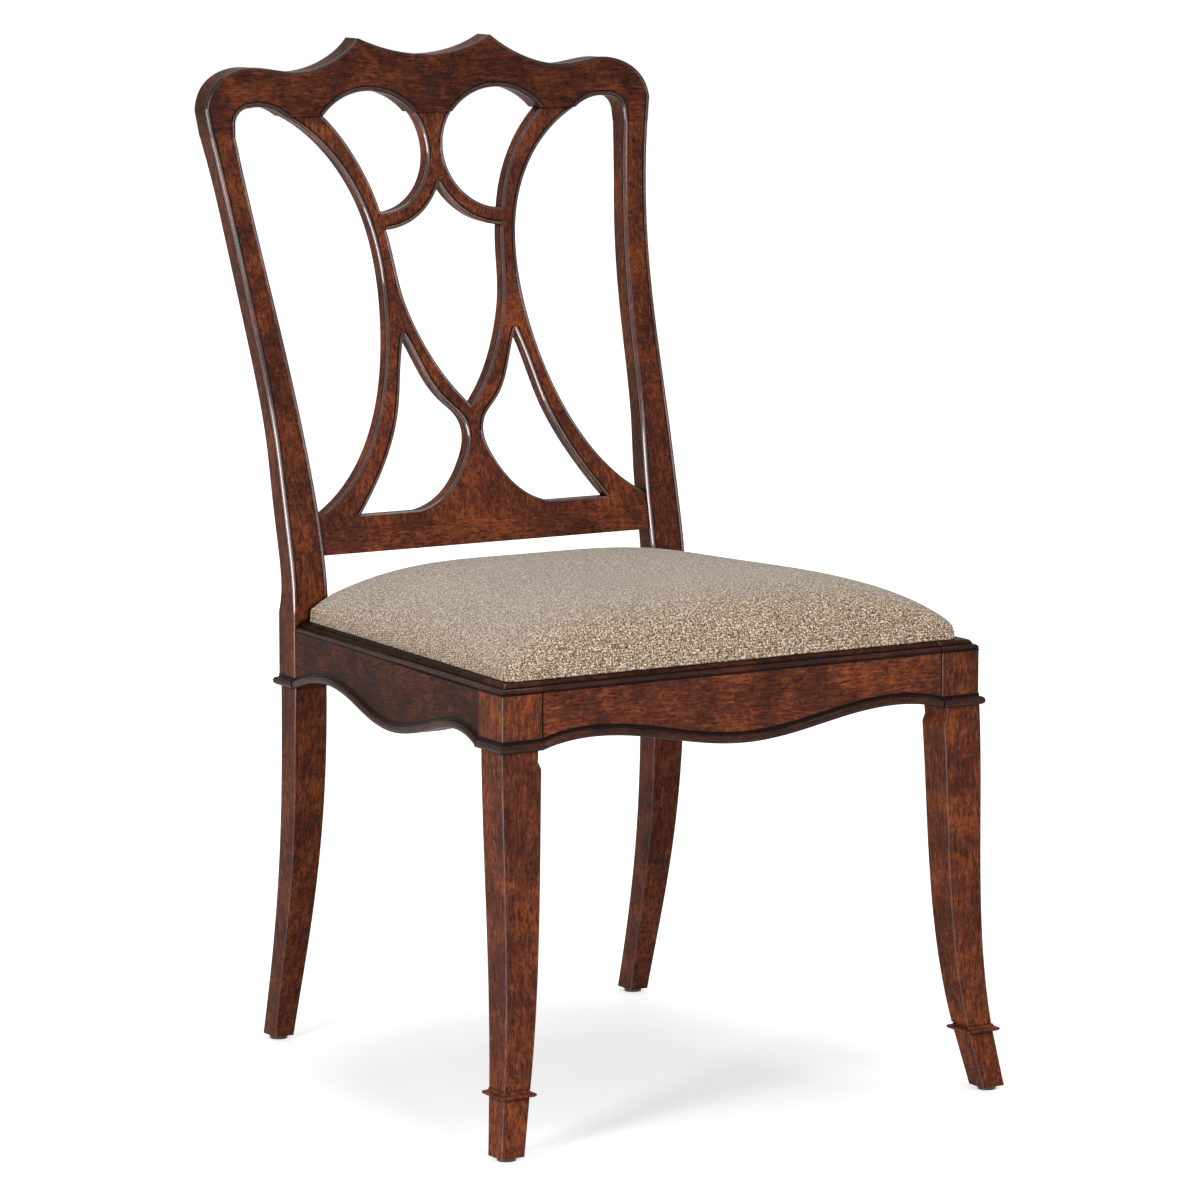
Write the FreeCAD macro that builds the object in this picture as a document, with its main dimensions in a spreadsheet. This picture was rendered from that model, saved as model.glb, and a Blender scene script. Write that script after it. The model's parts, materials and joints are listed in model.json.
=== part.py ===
# Side chair with a pierced back and an upholstered seat, in millimetres.
# It faces -Y, its own left is at +X, and its glides stand on z = 0.
import FreeCAD, Part
import math
import os
import Sketcher
from FreeCAD import Placement, Rotation, Vector

os.makedirs("parts", exist_ok=True)
doc = FreeCAD.newDocument("side_chair")
sheet = doc.addObject("Spreadsheet::Sheet", "Sizes")

# Driving dimensions. "out" and "in" are distances from the middle plane of the chair to the
# outer and inner side of a leg, "front" and "back" are distances behind the front legs' faces,
# and "level" is a height above the floor.
SIZES = {
    # Front legs: a square block at the seat, then a sabre leg that kicks out to its foot
    "block_level": 383.7,
    "rail_level": 439.0,
    "front_block_out": 271.2,
    "front_block_in": 227.5,
    "front_block_depth": 45.0,
    "front_neck_out": 272.2,
    "front_neck_in": 228.4,
    "front_neck_front": -0.8,
    "front_neck_back": 38.5,
    "front_knee_level": 265.0,
    "front_knee_out": 272.2,
    "front_knee_in": 232.6,
    "front_knee_front": -4.8,
    "front_knee_back": 32.6,
    "front_shin_level": 153.0,
    "front_shin_out": 272.8,
    "front_shin_in": 238.6,
    "front_shin_front": -8.6,
    "front_shin_back": 25.0,
    "ankle_level": 62.0,
    "ankle_out": 280.0,
    "ankle_in": 251.2,
    "ankle_front": -16.5,
    "ankle_back": 12.2,
    "glide_height": 4.0,
    "front_foot_out": 288.8,
    "front_foot_in": 262.8,
    "front_foot_front": -25.6,
    "front_foot_back": -0.9,
    # Rear posts: a raked leg, a square block at the seat and a stile that leans back
    "post_block_out": 232.9,
    "post_block_in": 193.7,
    "post_block_front": 475.4,
    "post_block_back": 508.3,
    "post_block_level": 375.5,
    "post_stop_level": 450.0,
    "post_neck_out": 231.6,
    "post_neck_in": 195.0,
    "post_neck_front": 476.4,
    "post_neck_back": 506.6,
    "post_knee_level": 286.0,
    "post_knee_out": 232.1,
    "post_knee_in": 195.9,
    "post_knee_front": 478.5,
    "post_knee_back": 507.0,
    "post_shin_level": 184.0,
    "post_shin_out": 230.2,
    "post_shin_in": 198.6,
    "post_shin_front": 490.5,
    "post_shin_back": 518.2,
    "post_ankle_level": 82.0,
    "post_ankle_out": 228.0,
    "post_ankle_in": 201.0,
    "post_ankle_front": 515.6,
    "post_ankle_back": 539.8,
    "post_foot_out": 225.3,
    "post_foot_in": 203.5,
    "post_foot_front": 537.2,
    "post_foot_back": 563.5,
    "stile_foot_level": 467.0,
    "stile_foot_out": 232.6,
    "stile_foot_in": 193.9,
    "stile_foot_front": 475.9,
    "stile_depth": 26.4,
    "stile_top_depth": 26.0,
    "stile_foot_depth": 30.0,
    "stile_rail_depth": 28.5,
    "stile_rail_level": 520.0,
    "stile_rail_out": 232.5,
    "stile_rail_in": 194.2,
    "stile_rail_front": 485.0,
    "stile_low_level": 612.0,
    "stile_low_out": 232.6,
    "stile_low_in": 199.4,
    "stile_low_front": 507.1,
    "stile_mid_level": 734.0,
    "stile_mid_out": 237.0,
    "stile_mid_in": 208.5,
    "stile_mid_front": 545.9,
    "stile_high_level": 857.0,
    "stile_high_out": 248.7,
    "stile_high_in": 222.7,
    "stile_high_front": 580.4,
    "stile_top_level": 923.0,
    "stile_top_out": 259.0,
    "stile_top_in": 231.6,
    "stile_top_front": 593.7,
    # Crest rail, seen from the front
    "crest_level": 941.0,
    "crest_shelf_level": 980.0,
    "crest_shelf_front": 601.2,
    "crest_top_level": 1017.5,
    "crest_top_front": 614.0,
    "crest_thickness": 26.0,
    "crest_peak_out": 78.5,
    "crest_valley_level": 999.5,
    "crest_slope_out": 113.2,
    "crest_slope_level": 995.3,
    "crest_hollow_out": 158.0,
    "crest_hollow_level": 985.5,
    "crest_shoulder_out": 215.0,
    "crest_shoulder_level": 990.8,
    "crest_ear_top_out": 245.8,
    "crest_ear_top_level": 979.7,
    "crest_ear_out": 262.8,
    "crest_ear_level": 949.0,
    "crest_corner_out": 231.0,
    "crest_corner_level": 934.0,
    "crest_soffit_out": 213.0,
    "crest_soffit_level": 951.7,
    "crest_nose_out": 188.7,
    "crest_nose_level": 950.1,
    "crest_arch_out": 76.0,
    "crest_arch_radius": 71.8,
    "crest_arch_level": 965.0,
    "crest_lip": 2.6,
    # Splat, seen from the front
    "splat_thickness": 15.0,
    "ring_out": 71.4,
    "ring_level": 902.7,
    "ring_radius": 62.2,
    "ring_width": 16.8,
    "stem_half": 22.5,
    "member_top_in": 129.5,
    "member_top_out": 171.5,
    "member_neck_level": 900.0,
    "member_neck_in": 96.5,
    "member_neck_out": 121.0,
    "member_neck_low_level": 870.0,
    "member_neck_low_in": 81.6,
    "member_ring_level": 843.0,
    "member_ring_in": 72.6,
    "member_ring_out": 90.0,
    "shield_top_out": 68.9,
    "member_waist_level": 789.0,
    "member_waist_in": 64.2,
    "member_waist_out": 80.8,
    "member_thigh_level": 757.9,
    "member_thigh_in": 60.6,
    "member_fork_level": 722.0,
    "member_fork_in": 50.1,
    "member_fork_out": 84.8,
    "member_cup_level": 675.0,
    "member_cup_in": 26.0,
    "member_flank_level": 645.0,
    "member_flank_out": 106.2,
    "member_hip_level": 590.6,
    "member_hip_out": 137.8,
    "member_foot_level": 560.0,
    "member_foot_out": 168.4,
    "member_toe_level": 544.0,
    "member_toe_out": 193.8,
    "cup_level": 643.5,
    "fork_out": 66.5,
    "fork_level": 719.0,
    "fork_cheek_level": 691.6,
    "fork_cheek_half": 54.1,
    "waist_shoulder_level": 666.7,
    "waist_shoulder_half": 42.8,
    "waist_cheek_level": 648.7,
    "waist_cheek_half": 29.1,
    "waist_flare_level": 631.0,
    "waist_flare_half": 12.6,
    "waist_level": 620.0,
    "waist_half": 9.2,
    "skirt_level": 588.5,
    "skirt_half": 18.5,
    "base_flare_level": 556.0,
    "base_flare_half": 46.5,
    "base_toe_half": 78.0,
    "base_corner_out": 147.0,
    "base_edge_level": 543.0,
    "leaf_high_level": 683.4,
    "leaf_high_out": 77.0,
    "leaf_level": 644.6,
    "leaf_out": 86.7,
    "leaf_low_level": 586.5,
    "leaf_low_out": 115.0,
    # Lower back rail
    "back_rail_level": 531.5,
    "back_rail_height": 25.0,
    "back_rail_thickness": 20.0,
    "back_setback": 2.0,
    # Seat rails with their top moulding and waved lower edge
    "rail_thickness": 28.0,
    "rail_setback": 1.0,
    "rear_rail_thickness": 22.0,
    "rear_face_level": 433.5,
    "rear_rail_level": 442.0,
    "rear_rail_bottom": 386.0,
    "rear_rail_setback": 8.0,
    "mould_height": 9.0,
    "mould_step": 5.0,
    "mould_radius": 4.0,
    "wave_high_level": 391.5,
    "wave_low_level": 370.3,
    "front_wave_half": 172.0,
    "side_crest_front": 110.0,
    "side_crest_front_level": 392.3,
    "side_fall": 150.0,
    "side_fall_level": 383.8,
    "side_dip": 248.0,
    "side_dip_level": 368.1,
    "side_crest_rear": 386.0,
    "side_crest_rear_level": 391.4,
    "side_tail": 430.0,
    "side_tail_level": 387.2,
    "bead_height": 8.6,
    "bead_projection": 4.8,
    "collar_height": 7.0,
    "collar_projection": 3.8,
    # Joints
    "dowel_diameter": 9.6,
    "dowel_clearance": 0.2,
    "dowel_length": 44.0,
    "dowel_spacing": 22.0,
    "dowel_level": 409.0,
    "thin_dowel_diameter": 7.6,
    "thin_dowel_length": 36.0,
    "foot_tenon_in": 60.0,
    "foot_tenon_out": 140.0,
    "tenon_thickness": 7.0,
    "tenon_length": 12.0,
    "tenon_shoulder": 4.0,
    "tenon_clearance": 0.2,
    # Corner blocks and their screws
    "corner_block_height": 26.0,
    "corner_block_drop": 3.0,
    "front_block_reach": 67.5,
    "front_block_run": 65.0,
    "rear_block_reach": 63.7,
    "rear_block_run": 70.4,
    "glue_gap": 0.1,
    "screw_diameter": 4.5,
    "screw_head": 9.0,
    "screw_head_height": 3.0,
    "screw_grip": 19.0,
    "screw_length": 38.0,
    "screw_clearance": 0.2,
    "front_block_screw_out": 184.0,
    "front_block_screw_level": 85.0,
    "rear_block_screw_out": 150.0,
    "rear_block_screw_level": 425.0,
    "front_seat_screw_out": 205.0,
    "front_seat_screw_back": 55.0,
    "rear_seat_screw_out": 175.0,
    "rear_seat_screw_back": 456.0,
    "seat_screw_bite": 8.0,
    # Seat unit: board, foam, cover, dust cover and staples
    "board_front": 13.5,
    "board_back": 470.0,
    "board_front_margin": 19.2,
    "board_back_margin": 18.9,
    "board_corner": 22.0,
    "tongue_half": 191.5,
    "tongue_back": 499.0,
    "board_thickness": 12.0,
    "seat_lift": 0.2,
    "cover_thickness": 1.4,
    "cover_margin": 26.0,
    "foam_inset": 1.0,
    "crown_height": 57.0,
    "side_height": 34.0,
    "nose_height": 24.0,
    "tail_height": 36.0,
    "tongue_height": 26.0,
    "side_bulge": 3.0,
    "dust_thickness": 0.8,
    "dust_inset": 21.0,
    "staple_inset": 16.0,
    "staple_front_pitch": 50.0,
    "staple_side_pitch": 52.0,
    "staple_rear_pitch": 40.0,
    "staple_side_start": 30.0,
    "staple_end_inset": 19.5,
    "staple_width": 10.0,
    "staple_wire": 1.0,
    "staple_leg": 6.0,
    # Glides
    "glide_diameter": 18.0,
    "glide_pin_diameter": 4.0,
    "glide_pin_length": 16.0,
}

for row, (alias, value) in enumerate(SIZES.items(), start=1):
    sheet.set(f"A{row}", alias)
    sheet.set(f"B{row}", str(value))
    sheet.setAlias(f"B{row}", alias)
doc.recompute()


class Measure:
    """A length that knows both its formula over the sheet and its value."""

    def __init__(self, formula, value):
        self.formula = formula
        self.value = value

    def _join(self, sign, other):
        other = measure(other)
        values = {"+": self.value + other.value, "-": self.value - other.value,
                  "*": self.value * other.value}
        return Measure(f"({self.formula} {sign} {other.formula})", values[sign])

    def __add__(self, other):
        return self._join("+", other)

    def __sub__(self, other):
        return self._join("-", other)

    def __mul__(self, other):
        return self._join("*", other)

    def __neg__(self):
        return self * -1


def measure(item):
    """A Measure from a sheet alias, a plain number or another Measure."""
    if isinstance(item, Measure):
        return item
    if isinstance(item, str):
        return Measure(f"Sizes.{item}", float(sheet.get(item)))
    return Measure(f"({item})", float(item))


def mm(*items):
    """The value of a sum of aliases, numbers or Measures."""
    return sum(measure(item).value for item in items)


# The drawing's origin is at the front legs' faces; each finished piece moves so that the whole
# chair stands centred on the origin.
CHAIR_SHIFT = (measure("crest_top_front") + "crest_thickness" + "front_foot_front") * -0.5
FINISHED = []


def finish(item, label):
    """Name a piece for its file and set it in the chair's own frame."""
    item.Label = label
    item.setExpression("Placement.Base.y", CHAIR_SHIFT.formula)
    FINISHED.append(item)
    return item


def solid_feature(name, shape):
    """A piece whose shape is worked out from the sheet's values."""
    feature = doc.addObject("Part::Feature", name)
    feature.Shape = shape
    return feature


def cut(name, base, tools):
    """The base piece less its holes and seats."""
    tool = solid_feature(f"{name}_tool", Part.makeCompound(tools))
    result = doc.addObject("Part::Cut", name)
    result.Base = base
    result.Tool = tool
    return result


def plane(body, role):
    return next(item for item in body.Origin.OriginFeatures if item.Role == role)


def polygon(body, name, role, offset, points):
    """A closed sketch through corners, each bound to the sheet, on a plane of the body."""
    sketch = body.newObject("Sketcher::SketchObject", name)
    sketch.AttachmentSupport = [(plane(body, role), "")]
    sketch.MapMode = "FlatFace"
    sketch.setExpression("AttachmentOffset.Base.z", measure(offset).formula)
    corners = [(measure(across), measure(up)) for across, up in points]
    spots = [Vector(across.value, up.value, 0) for across, up in corners]
    count = len(spots)
    for index in range(count):
        sketch.addGeometry(Part.LineSegment(spots[index], spots[(index + 1) % count]))
    for index in range(count):
        after = (index + 1) % count
        sketch.addConstraint(Sketcher.Constraint("Coincident", index, 2, after, 1))
    for index, (across, up) in enumerate(corners):
        for axis, length in (("DistanceX", across), ("DistanceY", up)):
            row = sketch.addConstraint(
                Sketcher.Constraint(axis, -1, 1, index, 1, length.value))
            label = f"corner_{index}_{'across' if axis == 'DistanceX' else 'up'}"
            sketch.renameConstraint(row, label)
            sketch.setExpression(f"Constraints.{label}", length.formula)
    return sketch


def section(body, name, side, level, place):
    """A horizontal rectangle of a leg; place holds its out, in, front and back."""
    out, inner, front, back = [measure(item) for item in place]
    points = [(out * side, front), (inner * side, front), (inner * side, back), (out * side, back)]
    return polygon(body, name, "XY_Plane", level, points)


def loft(body, name, sketches, ruled=False):
    feature = body.newObject("PartDesign::AdditiveLoft", name)
    feature.Profile = sketches[0]
    feature.Sections = sketches[1:]
    feature.Ruled = ruled
    return feature


def pad(body, name, sketch, length, midplane=False):
    feature = body.newObject("PartDesign::Pad", name)
    feature.Profile = sketch
    feature.setExpression("Length", measure(length).formula)
    if midplane:
        feature.Midplane = True
    return feature


def box_pad(body, name, side, bottom, top, place):
    """An upright block between two levels."""
    sketch = section(body, f"{name}_outline", side, bottom, place)
    return pad(body, name, sketch, measure(top) - bottom)


def cylinder(centre, direction, diameter, length):
    """A cylinder whose middle is at centre."""
    direction = Vector(direction).normalize()
    start = Vector(centre) - direction * (length / 2)
    return Part.makeCylinder(diameter / 2, length, start, direction)


def wire_face(edges):
    return Part.Face(Part.Wire(Part.__sortEdges__([curve.toShape() for curve in edges])))


def smooth(points):
    curve = Part.BSplineCurve()
    curve.interpolate([Vector(point) for point in points])
    return curve


def straight(points):
    return [Part.LineSegment(Vector(a), Vector(b)) for a, b in zip(points, points[1:])]


def arc(start, through, end):
    return Part.Arc(Vector(start), Vector(through), Vector(end))


SIDES = {"left": 1, "right": -1}

# Dowels of the seat frame: where each one crosses its joint, and its direction
RAIL_TOP = measure("rail_level") + "mould_height"
REAR_TOP = measure("rear_face_level") + "mould_height"
SIDE_FRONT = measure("front_block_depth")
SIDE_BACK = measure("post_block_front")
SIDE_FACE_FRONT = measure("front_block_out") - "rail_setback"
SIDE_FACE_BACK = measure("post_block_out") - "rail_setback"
REAR_RAIL_FRONT = measure("post_block_front") + "rear_rail_setback"


def side_face(back):
    """Distance from the middle plane to a side rail's outer face at a distance behind the face."""
    share = (back - SIDE_FRONT.value) / (SIDE_BACK.value - SIDE_FRONT.value)
    return SIDE_FACE_FRONT.value + share * (SIDE_FACE_BACK.value - SIDE_FACE_FRONT.value)


def side_inner(back):
    return side_face(back) - mm("rail_thickness")


def dowel_spots(joint, side):
    """Where a joint's two dowels cross its joint plane."""
    half = mm("rail_thickness") / 2
    levels = [mm("dowel_level"), mm("dowel_level", "dowel_spacing")]
    if joint == "front":
        return [(side * mm("front_block_in"), mm("rail_setback") + half, z) for z in levels]
    if joint == "side_front":
        x = side * (side_face(SIDE_FRONT.value) - half)
        return [(x, SIDE_FRONT.value, z) for z in levels]
    if joint == "side_back":
        x = side * (side_face(SIDE_BACK.value) - half)
        return [(x, SIDE_BACK.value, z) for z in levels]
    y = REAR_RAIL_FRONT.value + mm("rear_rail_thickness") / 2
    return [(side * mm("post_block_in"), y, z - mm("dowel_spacing") / 2) for z in levels]


def dowels(joint, side, extra=0.0):
    along = (1, 0, 0) if joint in ("front", "rear") else (0, 1, 0)
    return [cylinder(spot, along, mm("dowel_diameter") + extra, mm("dowel_length") + extra)
            for spot in dowel_spots(joint, side)]


def bores(joint, side):
    return dowels(joint, side, mm("dowel_clearance"))


# Back boards share one side profile: the curve of the stiles' front faces
BACK_STATIONS = [
    ("stile_foot_level", "stile_foot_front"), ("stile_rail_level", "stile_rail_front"),
    ("stile_low_level", "stile_low_front"), ("stile_mid_level", "stile_mid_front"),
    ("stile_high_level", "stile_high_front"), ("stile_top_level", "stile_top_front"),
    ("crest_shelf_level", "crest_shelf_front"), ("crest_top_level", "crest_top_front")]


# Tools for the back reach from the front legs' faces to well behind the crest
BACK_DEPTH = 2 * mm("crest_top_front")


def back_curve(setback):
    return smooth([Vector(0, mm(front) + setback, mm(level)) for level, front in BACK_STATIONS])


def back_front_at(level):
    """How far back the stiles' front faces are at a level, and their lean there."""
    curve = back_curve(0)
    reach = Part.LineSegment(Vector(0, 0, level), Vector(0, BACK_DEPTH, level))
    spot = curve.toShape().distToShape(reach.toShape())[1][0][0]
    lean = curve.tangent(curve.parameter(spot))[0]
    return spot.y, lean


def back_sheet(setback, thickness, bottom, top):
    """A curved board wider than the chair, between two levels."""
    half = mm("crest_ear_out") * 1.1
    front = back_curve(setback).toShape()
    rear = back_curve(setback + thickness).toShape()
    ends = [Part.LineSegment(front.Vertexes[end].Point, rear.Vertexes[end].Point).toShape()
            for end in (0, 1)]
    face = Part.Face(Part.Wire(Part.__sortEdges__([front, rear] + ends)))
    face.translate(Vector(-half, 0, 0))
    board = face.extrude(Vector(2 * half, 0, 0))
    return board.common(Part.makeBox(2 * half, BACK_DEPTH, top - bottom, Vector(-half, 0, bottom)))


def at(x, level):
    return Vector(x, 0, level)


def spot(side, out, level):
    """A point of an elevation from two names of sizes."""
    return Vector(side * mm(out), 0, mm(level))


# Front legs
def top_mould(body, name, sketch, picks):
    """The step and rounded bead along the top of the seat frame."""
    feature = pad(body, name, sketch, "mould_height")
    doc.recompute()
    top = mm("rail_level", "mould_height")
    chosen = []
    for index, edge in enumerate(feature.Shape.Edges, start=1):
        middle = edge.CenterOfMass
        if abs(middle.z - top) < 0.01 and picks(middle):
            chosen.append(f"Edge{index}")
    rounding = body.newObject("PartDesign::Fillet", f"{name}_bead")
    rounding.Base = (feature, chosen)
    rounding.setExpression("Radius", "Sizes.mould_radius")
    return rounding


def front_leg(side, word):
    body = doc.addObject("PartDesign::Body", f"front_leg_{word}_body")
    block = ("front_block_out", "front_block_in", 0, "front_block_depth")
    neck = ("front_neck_out", "front_neck_in", "front_neck_front", "front_neck_back")
    knee = ("front_knee_out", "front_knee_in", "front_knee_front", "front_knee_back")
    shin = ("front_shin_out", "front_shin_in", "front_shin_front", "front_shin_back")
    ankle = ("ankle_out", "ankle_in", "ankle_front", "ankle_back")
    foot = ("front_foot_out", "front_foot_in", "front_foot_front", "front_foot_back")
    levels = ["block_level", "front_knee_level", "front_shin_level", "ankle_level"]
    box_pad(body, "block", side, "block_level", "rail_level", block)
    shank = [section(body, f"shank_{number}", side, level, place)
             for number, (level, place) in enumerate(zip(levels, [neck, knee, shin, ankle]))]
    loft(body, "shank", shank)
    toe = [section(body, "ankle_outline", side, "ankle_level", ankle),
           section(body, "foot_outline", side, "glide_height", foot)]
    loft(body, "foot", toe)
    grown = [measure("ankle_out") + "collar_projection", measure("ankle_in") - "collar_projection",
             measure("ankle_front") - "collar_projection",
             measure("ankle_back") + "collar_projection"]
    low = measure("ankle_level") - measure("collar_height") * 0.5
    box_pad(body, "collar", side, low, low + "collar_height", grown)
    inset = (measure("front_block_out") - "mould_step", "front_block_in", "mould_step",
             "front_block_depth")
    sketch = section(body, "mould_outline", side, "rail_level", inset)
    outer = mm("front_block_out") - mm("mould_step")

    def picks(middle):
        return abs(middle.y - mm("mould_step")) < 0.01 or abs(abs(middle.x) - outer) < 0.01

    top_mould(body, "mould", sketch, picks)
    doc.recompute()
    centre = (side * (mm("front_foot_out") + mm("front_foot_in")) / 2,
              (mm("front_foot_front") + mm("front_foot_back")) / 2)
    holes = bores("front", side) + bores("side_front", side) + [glide_bore(centre)]
    finish(cut(f"front_leg_{word}_shape", body, holes), f"front_leg_{word}")
    glide(f"front_glide_{word}", centre)


# Glides: a pad under each foot with its nail
def nail(centre, extra):
    """The nail of a glide, or its bore, on top of the pad."""
    return Part.makeCylinder((mm("glide_pin_diameter") + extra) / 2,
                             mm("glide_pin_length") + extra,
                             Vector(centre[0], centre[1], mm("glide_height")))


def glide_bore(centre):
    return nail(centre, mm("dowel_clearance"))


def glide(label, centre):
    button = doc.addObject("Part::Cylinder", f"{label}_pad")
    button.setExpression("Radius", "Sizes.glide_diameter / 2")
    button.setExpression("Height", "Sizes.glide_height")
    pin = doc.addObject("Part::Cylinder", f"{label}_nail")
    pin.setExpression("Radius", "Sizes.glide_pin_diameter / 2")
    pin.setExpression("Height", "Sizes.glide_height + Sizes.glide_pin_length")
    whole = doc.addObject("Part::Fuse", f"{label}_shape")
    whole.Base = button
    whole.Tool = pin
    whole.Placement = Placement(Vector(centre[0], centre[1], 0), Rotation())
    finish(whole, label)
    whole.setExpression("Placement.Base.y", (CHAIR_SHIFT + measure(centre[1])).formula)


# Rear posts
def slope_at(level_low, level_high):
    low, _ = back_front_at(level_low)
    high, _ = back_front_at(level_high)
    return Vector(0, high - low, level_high - level_low)


def thin_dowels(joint, side, extra=0.0):
    """Two slim dowels at the crest's or the lower back rail's joint with a post."""
    spacing = mm("dowel_spacing") / 2
    diameter = mm("thin_dowel_diameter") + extra
    length = mm("thin_dowel_length") + extra
    if joint == "crest":
        level = mm("stile_top_level")
        along = slope_at(level - 15, level + 15)
        middle = (mm("stile_top_out") + mm("stile_top_in")) / 2
        y = mm("stile_top_front") + mm("stile_top_depth") / 2
        return [cylinder((side * (middle + shift), y, level), along, diameter, length)
                for shift in (-spacing / 2, spacing / 2)]
    level = mm("back_rail_level") - mm("back_rail_height") / 2
    found = []
    for shift in (-spacing / 2, spacing / 2):
        front, _ = back_front_at(level + shift)
        y = front + mm("back_setback") + mm("back_rail_thickness") / 2
        found.append(cylinder((side * mm("stile_rail_in"), y, level + shift), (1, 0, 0),
                              diameter, length))
    return found


def back_post(side, word):
    body = doc.addObject("PartDesign::Body", f"back_post_{word}_body")
    block = ("post_block_out", "post_block_in", "post_block_front", "post_block_back")
    leg = [("glide_height", "post_foot"), ("post_ankle_level", "post_ankle"),
           ("post_shin_level", "post_shin"), ("post_knee_level", "post_knee"),
           ("post_block_level", "post_neck")]
    lower = [section(body, f"{part}_outline", side, level,
                     (f"{part}_out", f"{part}_in", f"{part}_front", f"{part}_back"))
             for level, part in leg]
    loft(body, "leg", lower)
    box_pad(body, "block", side, "post_block_level", "post_stop_level", block)
    stile = [("stile_foot_level", "stile_foot", "stile_foot_depth"),
             ("stile_rail_level", "stile_rail", "stile_rail_depth"),
             ("stile_low_level", "stile_low", "stile_depth"),
             ("stile_mid_level", "stile_mid", "stile_depth"),
             ("stile_high_level", "stile_high", "stile_top_depth"),
             ("stile_top_level", "stile_top", "stile_top_depth")]
    upper = [section(body, "stop_outline", side, "post_stop_level", block)]
    upper += [section(body, f"{part}_outline", side, level,
                     (f"{part}_out", f"{part}_in", f"{part}_front",
                      measure(f"{part}_front") + depth))
             for level, part, depth in stile]
    loft(body, "stile", upper)
    doc.recompute()
    centre = (side * (mm("post_foot_out") + mm("post_foot_in")) / 2,
              (mm("post_foot_front") + mm("post_foot_back")) / 2)
    clearance = mm("dowel_clearance")
    holes = bores("side_back", side) + bores("rear", side) + [glide_bore(centre)]
    holes += thin_dowels("crest", side, clearance) + thin_dowels("lower", side, clearance)
    finish(cut(f"back_post_{word}_shape", body, holes), f"back_post_{word}")
    glide(f"rear_glide_{word}", centre)
    return body


posts = {}
for word, side in SIDES.items():
    front_leg(side, word)
    posts[word] = back_post(side, word)
doc.recompute()


# Back boards: each is its outline cut through a curved board, fitted to the posts
def mirrored_outline(edges_right, closing):
    """Edges of the right half, their mirror images and the straight edges that close them."""
    across = FreeCAD.Matrix()
    across.A11 = -1
    shapes = [edge.toShape() for edge in edges_right]
    shapes += [shape.transformGeometry(across) for shape in shapes]
    shapes += [edge.toShape() for edge in closing]
    return Part.Face(Part.Wire(Part.__sortEdges__(shapes)))


def deep(face):
    """The prism of an elevation's face, through the whole back."""
    return face.extrude(Vector(0, BACK_DEPTH, 0))


def stem_half():
    rise = mm("crest_level") - mm("ring_level")
    return mm("ring_out") - math.sqrt(mm("ring_radius") ** 2 - rise ** 2)


def tenons(where, extra):
    """The splat's tenons at the crest or at the lower rail, or their mortises."""
    middle = mm("crest_lip") + (mm("splat_thickness") - mm("tenon_thickness") - extra) / 2
    length = mm("tenon_length") + extra / 2
    if where == "crest":
        bottom, top = mm("crest_level"), mm("crest_level") + length
        stem = stem_half() - mm("tenon_shoulder")
        inner = mm("member_top_in") + mm("tenon_shoulder")
        outer = mm("member_top_out") - mm("tenon_shoulder")
        spans = [(-stem, stem), (inner, outer), (-outer, -inner)]
    else:
        bottom, top = mm("back_rail_level") - length, mm("back_rail_level")
        spans = [(-mm("foot_tenon_out"), -mm("foot_tenon_in")),
                 (mm("foot_tenon_in"), mm("foot_tenon_out"))]
    sheet_piece = back_sheet(middle, mm("tenon_thickness") + extra, bottom, top)
    found = []
    for low, high in spans:
        corner = Vector(low - extra / 2, 0, bottom)
        room = Part.makeBox(high - low + extra, BACK_DEPTH, top - bottom, corner)
        found.append(sheet_piece.common(room))
    return found


def post_shapes():
    return [posts[word].Shape for word in SIDES]


def crest_rail():
    ear = [spot(1, "crest_peak_out", "crest_top_level"), spot(1, "crest_slope_out", "crest_slope_level"),
           spot(1, "crest_hollow_out", "crest_hollow_level"),
           spot(1, "crest_shoulder_out", "crest_shoulder_level"),
           spot(1, "crest_ear_top_out", "crest_ear_top_level"),
           spot(1, "crest_ear_out", "crest_ear_level")]
    foot = spot(1, "stile_top_out", "stile_top_level")
    heel = spot(1, "stile_top_in", "stile_top_level")
    corner = spot(1, "crest_corner_out", "crest_corner_level")
    soffit = spot(1, "crest_soffit_out", "crest_soffit_level")
    turn = math.sqrt(0.5)
    bend = at(soffit.x + (corner.x - soffit.x) * turn, corner.z + (soffit.z - corner.z) * turn)
    nose = spot(1, "crest_nose_out", "crest_nose_level")
    joint_out = spot(1, "member_top_out", "crest_level")
    joint_in = spot(1, "member_top_in", "crest_level")
    arch_top = spot(1, "crest_arch_out", "crest_arch_level")
    stem = at(stem_half(), mm("crest_level"))
    right = [smooth(ear)] + straight([ear[-1], foot, heel, corner])
    right += [arc(corner, bend, soffit), smooth([soffit, nose, joint_out])]
    right += straight([joint_out, joint_in]) + [arc(joint_in, arch_top, stem)]
    valley = arc(spot(-1, "crest_peak_out", "crest_top_level"), at(0, mm("crest_valley_level")),
                 spot(1, "crest_peak_out", "crest_top_level"))
    closing = [valley] + straight([at(-stem.x, stem.z), stem])
    body = deep(mirrored_outline(right, closing))
    body = body.common(back_sheet(0, mm("crest_thickness"), mm("stile_top_level"),
                                  mm("crest_top_level") + 1))
    holes = tenons("crest", mm("tenon_clearance"))
    for side in SIDES.values():
        holes += thin_dowels("crest", side, mm("dowel_clearance"))
    finish(cut("crest_rail_shape", solid_feature("crest_rail_blank", body), holes), "crest_rail")


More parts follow.
